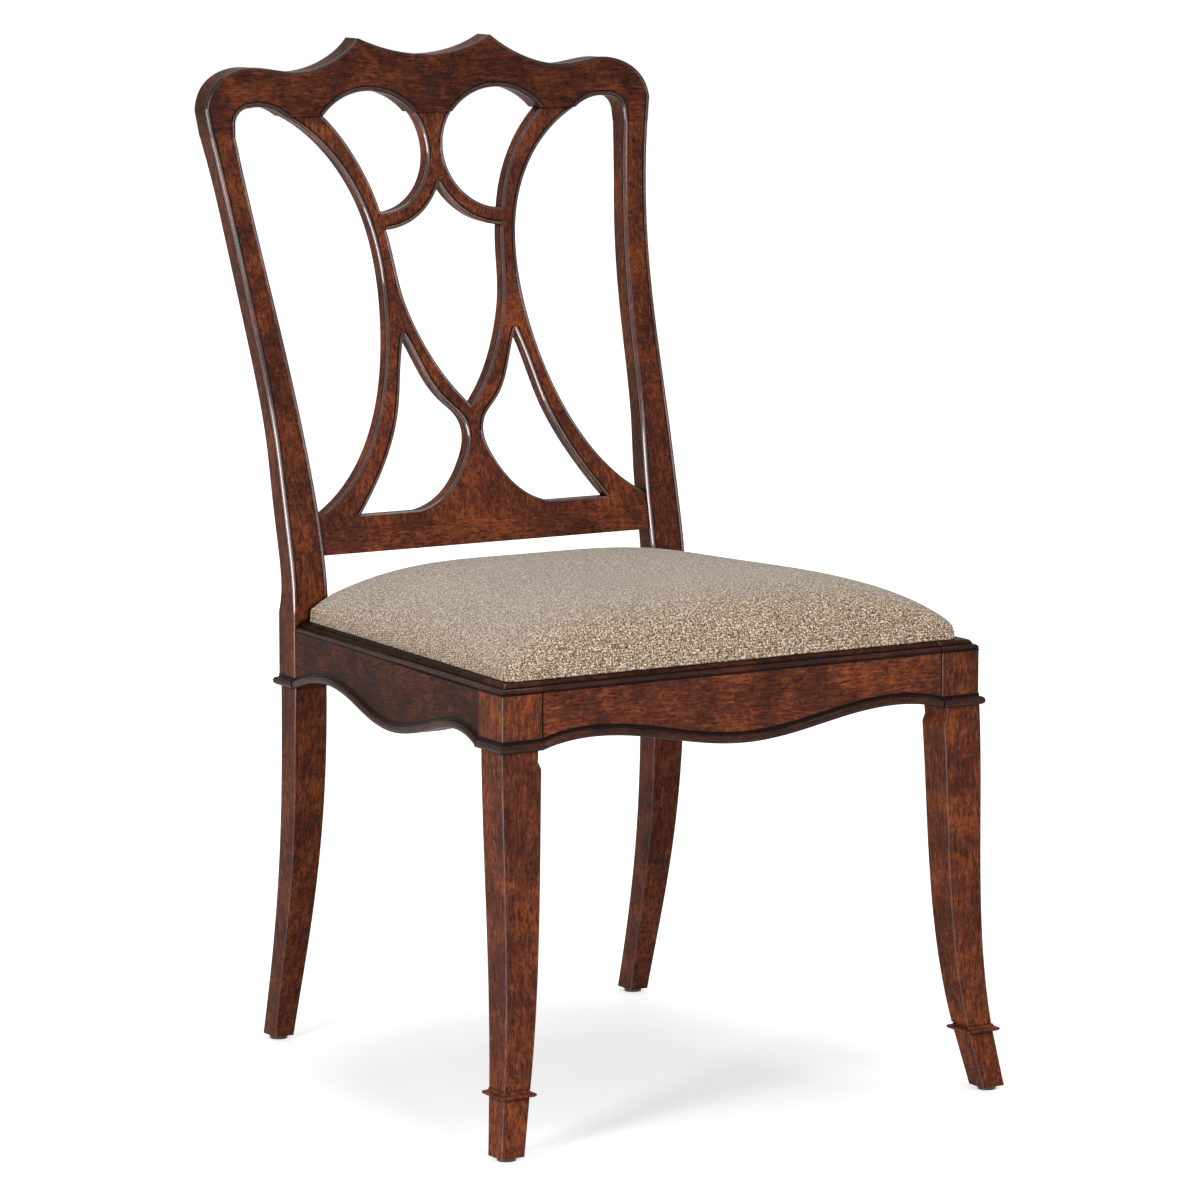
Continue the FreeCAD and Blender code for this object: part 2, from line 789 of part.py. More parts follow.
def ring_opening(side):
    """The crescent beside the stem, open at the top under the crest's arch."""
    top = mm("crest_level")
    centre = spot(side, "ring_out", "ring_level")
    radius = mm("ring_radius")
    cusp_x = mm("member_ring_in")
    cusp = at(side * cusp_x, centre.z - math.sqrt(radius ** 2 - (cusp_x - mm("ring_out")) ** 2))
    start = at(side * stem_half(), top)
    inner = arc(start, at(centre.x - side * radius, centre.z), cusp)
    outer = smooth([cusp, spot(side, "member_neck_low_in", "member_neck_low_level"),
                    spot(side, "member_neck_in", "member_neck_level"),
                    spot(side, "member_top_in", "crest_level")])
    lid = [spot(side, "member_top_in", "crest_level"), at(side * mm("member_top_in"), top + 20),
           at(start.x, top + 20), start]
    return deep(wire_face([inner, outer] + straight(lid)))


def shield_opening():
    centre = spot(1, "ring_out", "ring_level")
    radius = mm("ring_radius") + mm("ring_width")
    notch = at(0, centre.z - math.sqrt(radius ** 2 - centre.x ** 2))
    end_x = mm("shield_top_out")
    end = at(end_x, centre.z - math.sqrt(radius ** 2 - (end_x - centre.x) ** 2))
    turn = math.sqrt(0.5)
    bottom = at(centre.x - radius * turn, centre.z - radius * turn)
    flank = smooth([end, spot(1, "member_waist_in", "member_waist_level"),
                    spot(1, "member_thigh_in", "member_thigh_level"),
                    spot(1, "member_fork_in", "member_fork_level"),
                    spot(1, "member_cup_in", "member_cup_level"), at(0, mm("cup_level"))])
    return deep(mirrored_outline([arc(notch, bottom, end), flank], []))


def leaf_opening(side):
    """The leaf-shaped opening beside the waist."""
    apex = spot(side, "fork_out", "fork_level")
    inner = smooth([apex, spot(side, "fork_cheek_half", "fork_cheek_level"),
                    spot(side, "waist_shoulder_half", "waist_shoulder_level"),
                    spot(side, "waist_cheek_half", "waist_cheek_level"),
                    spot(side, "waist_flare_half", "waist_flare_level"),
                    spot(side, "waist_half", "waist_level"),
                    spot(side, "skirt_half", "skirt_level"),
                    spot(side, "base_flare_half", "base_flare_level"),
                    spot(side, "base_toe_half", "base_edge_level")])
    outer = smooth([apex, spot(side, "leaf_high_out", "leaf_high_level"),
                    spot(side, "leaf_out", "leaf_level"),
                    spot(side, "leaf_low_out", "leaf_low_level"),
                    spot(side, "base_corner_out", "base_edge_level")])
    floor = straight([spot(side, "base_toe_half", "base_edge_level"),
                      spot(side, "base_corner_out", "base_edge_level")])
    return deep(wire_face([inner, outer] + floor))


def back_splat():
    flank = smooth([spot(1, "member_top_out", "crest_level"),
                    spot(1, "member_neck_out", "member_neck_level"),
                    spot(1, "member_ring_out", "member_ring_level"),
                    spot(1, "member_waist_out", "member_waist_level"),
                    spot(1, "member_fork_out", "member_fork_level"),
                    spot(1, "member_flank_out", "member_flank_level"),
                    spot(1, "member_hip_out", "member_hip_level"),
                    spot(1, "member_foot_out", "member_foot_level"),
                    spot(1, "member_toe_out", "member_toe_level")])
    toe = spot(1, "member_toe_out", "member_toe_level")
    run = [toe, at(mm("member_toe_out") + 12, mm("member_toe_level") - 6),
           at(mm("member_toe_out") + 12, mm("back_rail_level"))]
    closing = straight([spot(-1, "member_top_out", "crest_level"),
                        spot(1, "member_top_out", "crest_level")])
    closing += straight([at(-run[-1].x, run[-1].z), run[-1]])
    board = deep(mirrored_outline([flank] + straight(run), closing))
    openings = [ring_opening(side) for side in SIDES.values()]
    openings += [leaf_opening(side) for side in SIDES.values()]
    openings.append(shield_opening())
    for opening in openings:
        board = board.cut(opening)
    board = board.common(back_sheet(mm("crest_lip"), mm("splat_thickness"),
                                    mm("back_rail_level"), mm("crest_level")))
    for tenon in tenons("crest", 0) + tenons("foot", 0):
        board = board.fuse(tenon)
    finish(cut("back_splat_shape", solid_feature("back_splat_blank", board.removeSplitter()),
               post_shapes()), "back_splat")


def lower_back_rail():
    bottom = mm("back_rail_level") - mm("back_rail_height")
    half = (mm("stile_rail_in") + mm("stile_rail_out")) / 2
    board = back_sheet(mm("back_setback"), mm("back_rail_thickness"), bottom, mm("back_rail_level"))
    room = Part.makeBox(2 * half, BACK_DEPTH, mm("back_rail_height"), Vector(-half, 0, bottom))
    holes = post_shapes() + tenons("foot", mm("tenon_clearance"))
    for side in SIDES.values():
        holes += thin_dowels("lower", side, mm("dowel_clearance"))
    blank = solid_feature("lower_back_rail_blank", board.common(room))
    finish(cut("lower_back_rail_shape", blank, holes), "lower_back_rail")


crest_rail()
back_splat()
lower_back_rail()


# Seat rails: the lower edges are waves
def swell(first, last):
    """Points (distance, level) of an easy curve that is level at both ends, less its last."""
    run, rise = last[0] - first[0], last[1] - first[1]
    return [(first[0] + run * step / 3, first[1] + rise * (1 - math.cos(math.pi * step / 3)) / 2)
            for step in range(3)]


def front_wave():
    run, high = mm("front_wave_half"), mm("wave_high_level")
    half, level = mm("front_block_in"), mm("block_level")
    dip = (0, mm("wave_low_level"))
    points = [(-half, level)] + swell((-run, high), dip) + swell(dip, (run, high))
    return [Vector(x, 0, z) for x, z in points + [(run, high), (half, level)]]


def side_wave():
    dip = (mm("side_dip"), mm("side_dip_level"))
    crest = (mm("side_crest_rear"), mm("side_crest_rear_level"))
    points = [(SIDE_FRONT.value, mm("block_level"))]
    points += [(mm(name), mm(f"{name}_level")) for name in ("side_crest_front", "side_fall")]
    points += swell(dip, crest) + [crest, (mm("side_tail"), mm("side_tail_level")),
                                   (SIDE_BACK.value, mm("post_block_level"))]
    return [Vector(0, y, z) for y, z in points]


def under_wave(points):
    """The area between a waved edge and a level below it."""
    low = mm("wave_low_level") - 20
    start, end = points[0], points[-1]
    drop = [end, Vector(end.x, end.y, low), Vector(start.x, start.y, low), start]
    return wire_face([smooth(points)] + straight(drop))


def bead_band(points):
    """The strip of a bead along a waved edge."""
    rise = Vector(0, 0, mm("bead_height"))
    upper = [point + rise for point in points]
    ends = straight([points[0], upper[0]]) + straight([points[-1], upper[-1]])
    return wire_face([smooth(points), smooth(upper)] + ends)


def screw(head_seat, along, length, extra=0.0, recess=0.0):
    """A screw whose head rests at head_seat, or its bore with a recess behind the head."""
    along = Vector(along).normalize()
    seat = Vector(head_seat)
    shank = Part.makeCylinder((mm("screw_diameter") + extra) / 2, length + extra / 2, seat, along)
    deep_head = mm("screw_head_height") + recess
    head = Part.makeCylinder((mm("screw_head") + extra) / 2, deep_head,
                             seat - along * deep_head, along)
    return shank.fuse(head).removeSplitter()


BLOCK_TOP = {"front": RAIL_TOP - "corner_block_drop", "rear": REAR_TOP - "corner_block_drop"}


def block_screw_seats(end, side):
    """Head seats and directions of the two screws that hold a corner block to its rails."""
    level = BLOCK_TOP[end].value - mm("corner_block_height") / 2
    grip = mm("screw_grip")
    y = mm(f"{end}_block_screw_level")
    across = ((side * (side_inner(y) - grip), y, level), (side, 0, 0))
    if end == "front":
        face = mm("rail_setback") + mm("rail_thickness")
        return [((side * mm("front_block_screw_out"), face + grip, level), (0, -1, 0)), across]
    face = REAR_RAIL_FRONT.value
    return [((side * mm("rear_block_screw_out"), face - grip, level), (0, 1, 0)), across]


def block_screws(end, side, extra=0.0, recess=0.0):
    return [screw(seat, along, mm("screw_length"), extra, recess)
            for seat, along in block_screw_seats(end, side)]


def front_seat_rail():
    body = doc.addObject("PartDesign::Body", "front_seat_rail_body")
    near = measure("rail_setback")
    far = near + "rail_thickness"
    low = measure("wave_low_level") - 10
    points = [(near, low), (near, "rail_level"), (far, "rail_level"), (far, low)]
    face = polygon(body, "rail_outline", "YZ_Plane", 0, points)
    pad(body, "rail", face, measure("front_block_in") * 2, midplane=True)
    step = near + "mould_step"
    top = measure("rail_level") + "mould_height"
    points = [(step, "rail_level"), (step, top), (far, top), (far, "rail_level")]
    ledge = polygon(body, "mould_outline", "YZ_Plane", 0, points)
    feature = pad(body, "mould", ledge, measure("front_block_in") * 2, midplane=True)
    doc.recompute()
    chosen = [f"Edge{index}" for index, edge in enumerate(feature.Shape.Edges, start=1)
              if abs(edge.CenterOfMass.z - top.value) < 0.01
              and abs(edge.CenterOfMass.y - step.value) < 0.01]
    rounding = body.newObject("PartDesign::Fillet", "mould_bead")
    rounding.Base = (feature, chosen)
    rounding.setExpression("Radius", "Sizes.mould_radius")
    doc.recompute()
    under = under_wave(front_wave())
    under.translate(Vector(0, -50, 0))
    holes = [under.extrude(Vector(0, 150, 0))]
    for side in SIDES.values():
        holes += bores("front", side)
        holes.append(block_screws("front", side, mm("screw_clearance"))[0])
    finish(cut("front_seat_rail_shape", body, holes), "front_seat_rail")


def side_seat_rail(side, word):
    body = doc.addObject("PartDesign::Body", f"{word}_seat_rail_body")
    low = measure("wave_low_level") - 10
    ends = [("front", SIDE_FRONT, SIDE_FACE_FRONT, measure("rail_level")),
            ("back", SIDE_BACK, SIDE_FACE_BACK, measure("rear_face_level"))]
    rail_ends = []
    mould_ends = []
    for end, y, face, level in ends:
        inner = face - "rail_thickness"
        points = [(face * side, low), (face * side, level), (inner * side, level), (inner * side, low)]
        rail_ends.append(polygon(body, f"rail_{end}", "XZ_Plane", -y, points))
        step = face - "mould_step"
        top = level + "mould_height"
        points = [(step * side, level), (step * side, top), (inner * side, top), (inner * side, level)]
        mould_ends.append(polygon(body, f"mould_{end}", "XZ_Plane", -y, points))
    loft(body, "rail", rail_ends, ruled=True)
    feature = loft(body, "mould", mould_ends, ruled=True)
    doc.recompute()
    middle = (SIDE_FACE_FRONT.value + SIDE_FACE_BACK.value) / 2 - mm("mould_step")
    level = (RAIL_TOP.value + REAR_TOP.value) / 2
    chosen = [f"Edge{index}" for index, edge in enumerate(feature.Shape.Edges, start=1)
              if abs(edge.CenterOfMass.z - level) < 0.5
              and abs(abs(edge.CenterOfMass.x) - middle) < 0.5]
    rounding = body.newObject("PartDesign::Fillet", "mould_bead")
    rounding.Base = (feature, chosen)
    rounding.setExpression("Radius", "Sizes.mould_radius")
    doc.recompute()
    under = under_wave(side_wave())
    under.translate(Vector(side * 150, 0, 0))
    holes = [under.extrude(Vector(side * 150, 0, 0))]
    holes += bores("side_front", side) + bores("side_back", side)
    for end in ("front", "rear"):
        holes.append(block_screws(end, side, mm("screw_clearance"))[1])
    finish(cut(f"{word}_seat_rail_shape", body, holes), f"{word}_seat_rail")


def rear_seat_rail():
    box = doc.addObject("Part::Box", "rear_seat_rail_blank")
    box.setExpression("Length", (measure("post_block_in") * 2).formula)
    box.setExpression("Width", "Sizes.rear_rail_thickness")
    box.setExpression("Height", "Sizes.rear_rail_level - Sizes.rear_rail_bottom")
    box.setExpression("Placement.Base.x", (-measure("post_block_in")).formula)
    box.setExpression("Placement.Base.y", REAR_RAIL_FRONT.formula)
    box.setExpression("Placement.Base.z", "Sizes.rear_rail_bottom")
    holes = []
    for side in SIDES.values():
        holes += bores("rear", side)
        holes.append(block_screws("rear", side, mm("screw_clearance"))[0])
    finish(cut("rear_seat_rail_shape", box, holes), "rear_seat_rail")


# Beads round the lower edge of the seat frame
def front_bead():
    band = bead_band(front_wave())
    band.translate(Vector(0, -mm("bead_projection"), 0))
    strip = band.extrude(Vector(0, mm("bead_projection") + mm("rail_setback"), 0))
    finish(solid_feature("apron_bead_front_shape", strip), "apron_bead_front")


def side_bead(side, word):
    band = bead_band(side_wave())
    band.translate(Vector(side * 150, 0, 0))
    strip = band.extrude(Vector(side * 180, 0, 0))
    reach = mm("bead_projection") + mm("rail_setback")
    near, far = SIDE_FRONT.value, SIDE_BACK.value
    plan = [Vector(side * side_face(near), near, 0), Vector(side * (side_face(near) + reach), near, 0),
            Vector(side * (side_face(far) + reach), far, 0), Vector(side * side_face(far), far, 0)]
    face = Part.Face(Part.makePolygon(plan + plan[:1]))
    face.translate(Vector(0, 0, mm("wave_low_level") - 20))
    slab = face.extrude(Vector(0, 0, 100))
    finish(solid_feature(f"apron_bead_{word}_shape", strip.common(slab)), f"apron_bead_{word}")


def leg_bead(side, word):
    body = doc.addObject("PartDesign::Body", f"leg_bead_front_{word}_body")
    out, inner = measure("front_block_out"), measure("front_block_in")
    reach = measure("bead_projection")
    points = [(inner * side, 0), (out * side, 0), (out * side, "front_block_depth"),
              ((out + reach) * side, "front_block_depth"), ((out + reach) * side, -reach),
              (inner * side, -reach)]
    sketch = polygon(body, "bead_outline", "XY_Plane", "block_level", points)
    pad(body, "bead", sketch, "bead_height")
    finish(body, f"leg_bead_front_{word}")
    rear = doc.addObject("PartDesign::Body", f"leg_bead_rear_{word}_body")
    out, inner = measure("post_block_out"), measure("post_block_in")
    behind = measure("post_block_back")
    points = [(out * side, "post_block_front"), ((out + reach) * side, "post_block_front"),
              ((out + reach) * side, behind + reach), (inner * side, behind + reach),
              (inner * side, behind), (out * side, behind)]
    sketch = polygon(rear, "bead_outline", "XY_Plane", "post_block_level", points)
    pad(rear, "bead", sketch, "bead_height")
    finish(rear, f"leg_bead_rear_{word}")


# Corner blocks, glued and screwed inside the seat frame
def corner_block(end, side, word):
    gap = mm("glue_gap")
    top = BLOCK_TOP[end].value
    if end == "front":
        face = mm("rail_setback") + mm("rail_thickness") + gap
        back = mm("front_block_depth") + gap
        post = mm("front_block_in") - gap
        reach = mm("front_block_in") - mm("front_block_reach")
        run = mm("front_block_depth") + mm("front_block_run")
    else:
        face = REAR_RAIL_FRONT.value - gap
        back = mm("post_block_front") - gap
        post = mm("post_block_in") - gap
        reach = mm("post_block_in") - mm("rear_block_reach")
        run = mm("post_block_front") - mm("rear_block_run")
    plan = [(post, face), (reach, face), (side_inner(run) - gap, run),
            (side_inner(back) - gap, back), (post, back)]
    corners = [Vector(side * x, y, top - mm("corner_block_height")) for x, y in plan]
    blank = Part.Face(Part.makePolygon(corners + corners[:1]))
    blank = blank.extrude(Vector(0, 0, mm("corner_block_height")))
    holes = block_screws(end, side, mm("screw_clearance"), 40)
    holes.append(seat_screw(end, side, mm("screw_clearance"), 20))
    label = f"corner_block_{end}_{word}"
    finish(cut(f"{label}_shape", solid_feature(f"{label}_blank", blank), holes), label)


# The seat unit lies on the rails, which fall a little towards the back
BOARD_FRONT_HALF = side_face(mm("board_front")) - mm("board_front_margin")
BOARD_BACK_HALF = side_face(mm("board_back")) - mm("board_back_margin")


def seat_slope():
    run = SIDE_BACK.value - SIDE_FRONT.value
    return math.degrees(math.atan((RAIL_TOP.value - REAR_TOP.value) / run))


def seat_base():
    """The point of the board's underside over the back of the front legs."""
    return Vector(0, SIDE_FRONT.value, RAIL_TOP.value + mm("seat_lift", "cover_thickness"))


def settle(shape):
    """Move a shape drawn over a level board to the sloping seat."""
    moved = shape.copy()
    moved.translate(Vector(0, 0, seat_base().z))
    moved.rotate(seat_base(), Vector(1, 0, 0), -seat_slope())
    return moved


def board_prism(grow, bottom, top):
    """The seat board's outline, grown or shrunk, between two heights over its underside."""
    front = mm("board_front") - grow
    back = mm("board_back") + grow
    tail = mm("tongue_back") + grow
    front_half = BOARD_FRONT_HALF + grow
    back_half = BOARD_BACK_HALF + grow
    tongue = mm("tongue_half") + grow
    radius = max(mm("board_corner") + grow, mm("cover_thickness"))
    turn = radius * (1 - math.sqrt(0.5))
    fall = (front_half - back_half) / (back - front)
    side_start = front_half - fall * radius

    def flat(x, y):
        return Vector(x, y, bottom)

    edges = straight([flat(-(front_half - radius), front), flat(front_half - radius, front)])
    for side in SIDES.values():
        edges.append(arc(flat(side * (front_half - radius), front),
                         flat(side * (front_half - turn), front + turn),
                         flat(side * side_start, front + radius)))
        edges += straight([flat(side * side_start, front + radius), flat(side * back_half, back),
                           flat(side * tongue, back), flat(side * tongue, tail)])
    edges += straight([flat(-tongue, tail), flat(tongue, tail)])
    return wire_face(edges).extrude(Vector(0, 0, top - bottom))


def seat_half(y):
    share = (y - mm("board_front")) / (mm("board_back") - mm("board_front"))
    return BOARD_FRONT_HALF + share * (BOARD_BACK_HALF - BOARD_FRONT_HALF)


def cushion_section(y, half, side_rise, inset, crown, grow):
    """A wire across the cushion: flat below, bulging sides and an arched top."""
    base = mm("board_thickness")
    half = half + grow
    side_rise = side_rise + grow * 0.7
    bulge = mm("side_bulge")
    shoulder = half - inset
    corner = Vector(half, y, base)
    top = Vector(shoulder, y, base + side_rise)
    peak = Vector(0, y, base + crown + grow)
    mirror_corner = Vector(-half, y, base)
    mirror_top = Vector(-shoulder, y, base + side_rise)
    middle = (corner + top) * 0.5 + Vector(bulge, 0, bulge * inset / side_rise)
    mirror_middle = Vector(-middle.x, y, middle.z)
    edges = [Part.LineSegment(mirror_corner, corner), Part.Arc(corner, middle, top),
             Part.Arc(top, peak, mirror_top), Part.Arc(mirror_top, mirror_middle, mirror_corner)]
    return Part.Wire([edge.toShape() for edge in edges])


def cushion(grow):
    """The stuffed form over the board, with its crown and drawn-in sides."""
    edge = mm("foam_inset")
    front, back = mm("board_front") + edge, mm("board_back") - edge
    crown, rise = mm("crown_height"), mm("side_height")
    corner = mm("board_corner")
    middle = (front + back) / 2
    stations = [
        (front - grow, seat_half(front) - 1.15 * corner, mm("nose_height") * 0.7, 8,
         mm("nose_height")),
        (front + corner * 0.5, seat_half(front) - corner * 0.25, rise * 0.85, 12, crown * 0.72),
        (front + 2.5 * corner, seat_half(front + 2.5 * corner) - edge, rise * 0.95, 18,
         crown * 0.92),
        (middle, seat_half(middle) - edge, rise, 20, crown),
        (back - 3 * corner, seat_half(back - 3 * corner) - edge, rise * 0.95, 18, crown * 0.9),
        (back + grow, seat_half(back) - edge, rise * 0.7, 12, mm("tail_height"))]
    wires = [cushion_section(*station, grow) for station in stations]
    body = Part.makeLoft(wires, True, False, False, 3)
    half = mm("tongue_half") - edge
    tongue = mm("tongue_height")
    tail = [cushion_section(back - 6, half, tongue, 8, tongue + 5, grow),
            cushion_section(mm("tongue_back") - edge + grow, half, tongue * 0.7, 8, tongue, grow)]
    return body.fuse(Part.makeLoft(tail, True, True)).removeSplitter()


def staples():
    """Staples, and their holes, along the edge of the board's underside."""
    inset = mm("staple_inset")
    wire, leg, width = mm("staple_wire"), mm("staple_leg"), mm("staple_width")
    front = mm("board_front") + mm("staple_end_inset")
    spots = [(x * mm("staple_front_pitch"), front, 0) for x in range(-4, 5)]
    start = SIDE_FRONT.value + mm("staple_side_start")
    for side in SIDES.values():
        for step in range(8):
            y = start + mm("staple_side_pitch") * step
            spots.append((side * (seat_half(y) - inset), y, 90))
    tail = mm("tongue_back") - mm("staple_end_inset")
    spots += [(x * mm("staple_rear_pitch"), tail, 0) for x in range(-2, 3)]
    found = []
    for x, y, turn in spots:
        crown = Part.makeBox(width, wire, wire, Vector(-width / 2, -wire / 2, -wire))
        legs = [Part.makeBox(wire, wire, leg, Vector(start, -wire / 2, 0))
                for start in (-width / 2, width / 2 - wire)]
        piece = crown.fuse(legs).removeSplitter()
        piece.rotate(Vector(0, 0, 0), Vector(0, 0, 1), turn)
        piece.translate(Vector(x, y, -mm("cover_thickness")))
        found.append(settle(piece))
    return found


def seat_screw(end, side, extra=0.0, recess=0.0):
    """A screw up through a corner block into the board."""
    bottom = BLOCK_TOP[end].value - mm("corner_block_height") + mm("screw_head_height") + 2
    x = side * mm(f"{end}_seat_screw_out")
    y = mm(f"{end}_seat_screw_back")
    fall = math.tan(math.radians(seat_slope())) * (y - SIDE_FRONT.value)
    tip = seat_base().z - fall + mm("seat_screw_bite")
    return screw((x, y, bottom), (0, 0, 1), tip - bottom, extra, recess)


def seat_unit():
    thick = mm("board_thickness")
    clearance = mm("screw_clearance")
    screw_holes = [seat_screw(end, side, clearance) for end in ("front", "rear")
                   for side in SIDES.values()]
    pins = staples()
    board = solid_feature("seat_board_blank", settle(board_prism(0, 0, thick)))
    finish(cut("seat_board_shape", board, screw_holes + pins), "seat_board")
    foam = cushion(0)
    finish(solid_feature("seat_foam_shape", settle(foam)), "seat_foam")
    skin = mm("cover_thickness")
    outer = cushion(skin).fuse(board_prism(skin, -skin, thick))
    outer = outer.cut(board_prism(0, 0, thick)).cut(foam)
    outer = outer.cut(board_prism(-mm("cover_margin"), -2 * skin, skin))
    cover = solid_feature("seat_cover_blank", settle(outer.removeSplitter()))
    finish(cut("seat_cover_shape", cover, screw_holes + pins), "seat_cover")
    dust = board_prism(-mm("dust_inset"), -skin - mm("dust_thickness"), -skin)
    sheet_piece = solid_feature("dust_cover_blank", settle(dust))
    finish(cut("dust_cover_shape", sheet_piece, screw_holes), "dust_cover")
    finish(solid_feature("cover_staples_shape", Part.makeCompound(pins)), "cover_staples")


def group(label, solids):
    finish(solid_feature(f"{label}_shape", Part.makeCompound(solids)), label)


front_seat_rail()
rear_seat_rail()
front_bead()
for word, side in SIDES.items():
    side_seat_rail(side, word)
    side_bead(side, word)
    leg_bead(side, word)
    for end in ("front", "rear"):
        corner_block(end, side, word)
seat_unit()

group("front_rail_dowels", dowels("front", 1) + dowels("front", -1))
group("left_rail_dowels", dowels("side_front", 1) + dowels("side_back", 1))
group("right_rail_dowels", dowels("side_front", -1) + dowels("side_back", -1))
group("rear_rail_dowels", dowels("rear", 1) + dowels("rear", -1))
group("crest_dowels", thin_dowels("crest", 1) + thin_dowels("crest", -1))
group("lower_back_rail_dowels", thin_dowels("lower", 1) + thin_dowels("lower", -1))
group("corner_block_screws", [piece for end in ("front", "rear") for side in SIDES.values()
                              for piece in block_screws(end, side)])
group("seat_screws", [seat_screw(end, side) for end in ("front", "rear")
                      for side in SIDES.values()])
doc.recompute()

problems = []
for item in doc.Objects:
    if "Invalid" in item.State or "Error" in item.State:
        problems.append(f"{item.Name}: {item.State}")
for item in FINISHED:
    if item.Shape.isNull() or not item.Shape.isValid():
        problems.append(f"{item.Label}: bad shape")
if problems:
    raise RuntimeError("; ".join(problems))
for item in FINISHED:
    item.Shape.exportStep(f"parts/{item.Label}.step")
    print(item.Label, len(item.Shape.Solids), round(item.Shape.Volume))
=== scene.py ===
import bpy
import bmesh
import json
import math
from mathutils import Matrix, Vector


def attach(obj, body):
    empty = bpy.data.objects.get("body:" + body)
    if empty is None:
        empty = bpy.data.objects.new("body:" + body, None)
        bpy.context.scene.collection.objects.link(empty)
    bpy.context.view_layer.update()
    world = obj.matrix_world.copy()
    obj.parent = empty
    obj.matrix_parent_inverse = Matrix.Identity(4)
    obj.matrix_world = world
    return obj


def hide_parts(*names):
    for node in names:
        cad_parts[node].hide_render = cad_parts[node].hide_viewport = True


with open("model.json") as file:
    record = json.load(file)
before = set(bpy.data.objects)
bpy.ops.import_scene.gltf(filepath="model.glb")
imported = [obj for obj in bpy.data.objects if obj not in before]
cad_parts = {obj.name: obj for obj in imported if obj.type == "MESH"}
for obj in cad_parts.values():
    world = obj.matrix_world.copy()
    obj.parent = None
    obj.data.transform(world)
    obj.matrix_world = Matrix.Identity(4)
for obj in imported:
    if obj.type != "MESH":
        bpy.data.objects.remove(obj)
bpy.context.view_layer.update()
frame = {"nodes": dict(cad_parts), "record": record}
scene = bpy.context.scene
nodes = frame["nodes"]

# Lengths below are in millimetres of the drawing, which starts at the front legs' faces
MM = 0.001
FACE_Y = -307.2
# A small step on either side of a sharp change of section, and the least rise of an upright edge
HAIR = 0.1
LEAST_RISE = 1e-6


def at(x, y, z):
    """A point in metres from millimetres of the drawing."""
    return Vector((x * MM, (y + FACE_Y) * MM, z * MM))


def drawn(point):
    """Millimetres of the drawing from a point in metres."""
    return Vector((point.x / MM, point.y / MM - FACE_Y, point.z / MM))


def clamped(share):
    return min(max(share, 0.0), 1.0)


def sections(name, levels):
    """The rectangle (x low, x high, y low, y high) that a CAD piece fills at each level."""
    mesh = nodes[name].data
    points = [drawn(vert.co) for vert in mesh.vertices]
    pairs = [(points[a], points[b]) for a, b in (edge.vertices for edge in mesh.edges)]
    found = []
    for level in levels:
        xs, ys = [], []
        for first, second in pairs:
            low, high = min(first.z, second.z), max(first.z, second.z)
            if low <= level <= high and high - low > LEAST_RISE:
                spot = first.lerp(second, (level - first.z) / (second.z - first.z))
                xs.append(spot.x)
                ys.append(spot.y)
        found.append((min(xs), max(xs), min(ys), max(ys)))
    return found


# The frame's plan sizes are read from its blocks, and its levels follow the drawing
SECTION_LEVEL = 400.0
BLOCK_IN, BLOCK_OUT, _, BLOCK_DEPTH = sections("front_leg_left", [SECTION_LEVEL])[0]
POST_IN, POST_OUT, POST_FRONT, POST_BACK = sections("back_post_left", [SECTION_LEVEL])[0]
FOOT_LEVEL = 4.0
BLOCK_LEVEL, POST_LEVEL = 383.7, 375.5
RAIL_LEVEL, REAR_LEVEL = 439.0, 433.5
SEAT_LEVEL = 448.2
SEAT_SLOPE = math.tan(math.radians(0.732))
SETBACK = 1.0
SIDES = {"left": 1, "right": -1}

# The camera: a long lens at the photograph's angle
AZIMUTH = math.radians(-31.56)
ELEVATION = math.radians(8.46)
TARGET = Vector((-0.0622, -0.1404, 0.4916))
DISTANCE = 5.4386
LENS, SENSOR = 167.9, 36.0
FAR_CLIP = 100.0
back = Vector((math.sin(AZIMUTH) * math.cos(ELEVATION),
               -math.cos(AZIMUTH) * math.cos(ELEVATION), math.sin(ELEVATION)))
camera_data = bpy.data.cameras.new("view_camera")
camera_data.lens = LENS
camera_data.sensor_width = SENSOR
camera_data.clip_end = FAR_CLIP
camera = bpy.data.objects.new("view_camera", camera_data)
camera.location = TARGET + back * DISTANCE
camera.rotation_euler = back.to_track_quat("Z", "Y").to_euler()
scene.collection.objects.link(camera)
scene.camera = camera
scene.view_settings.view_transform = "Standard"


# Materials: short calls for node trees, then wood, cloth and the small pieces
MIX_FACTOR, MIX_FIRST, MIX_SECOND, MIX_RESULT = 0, 6, 7, 2


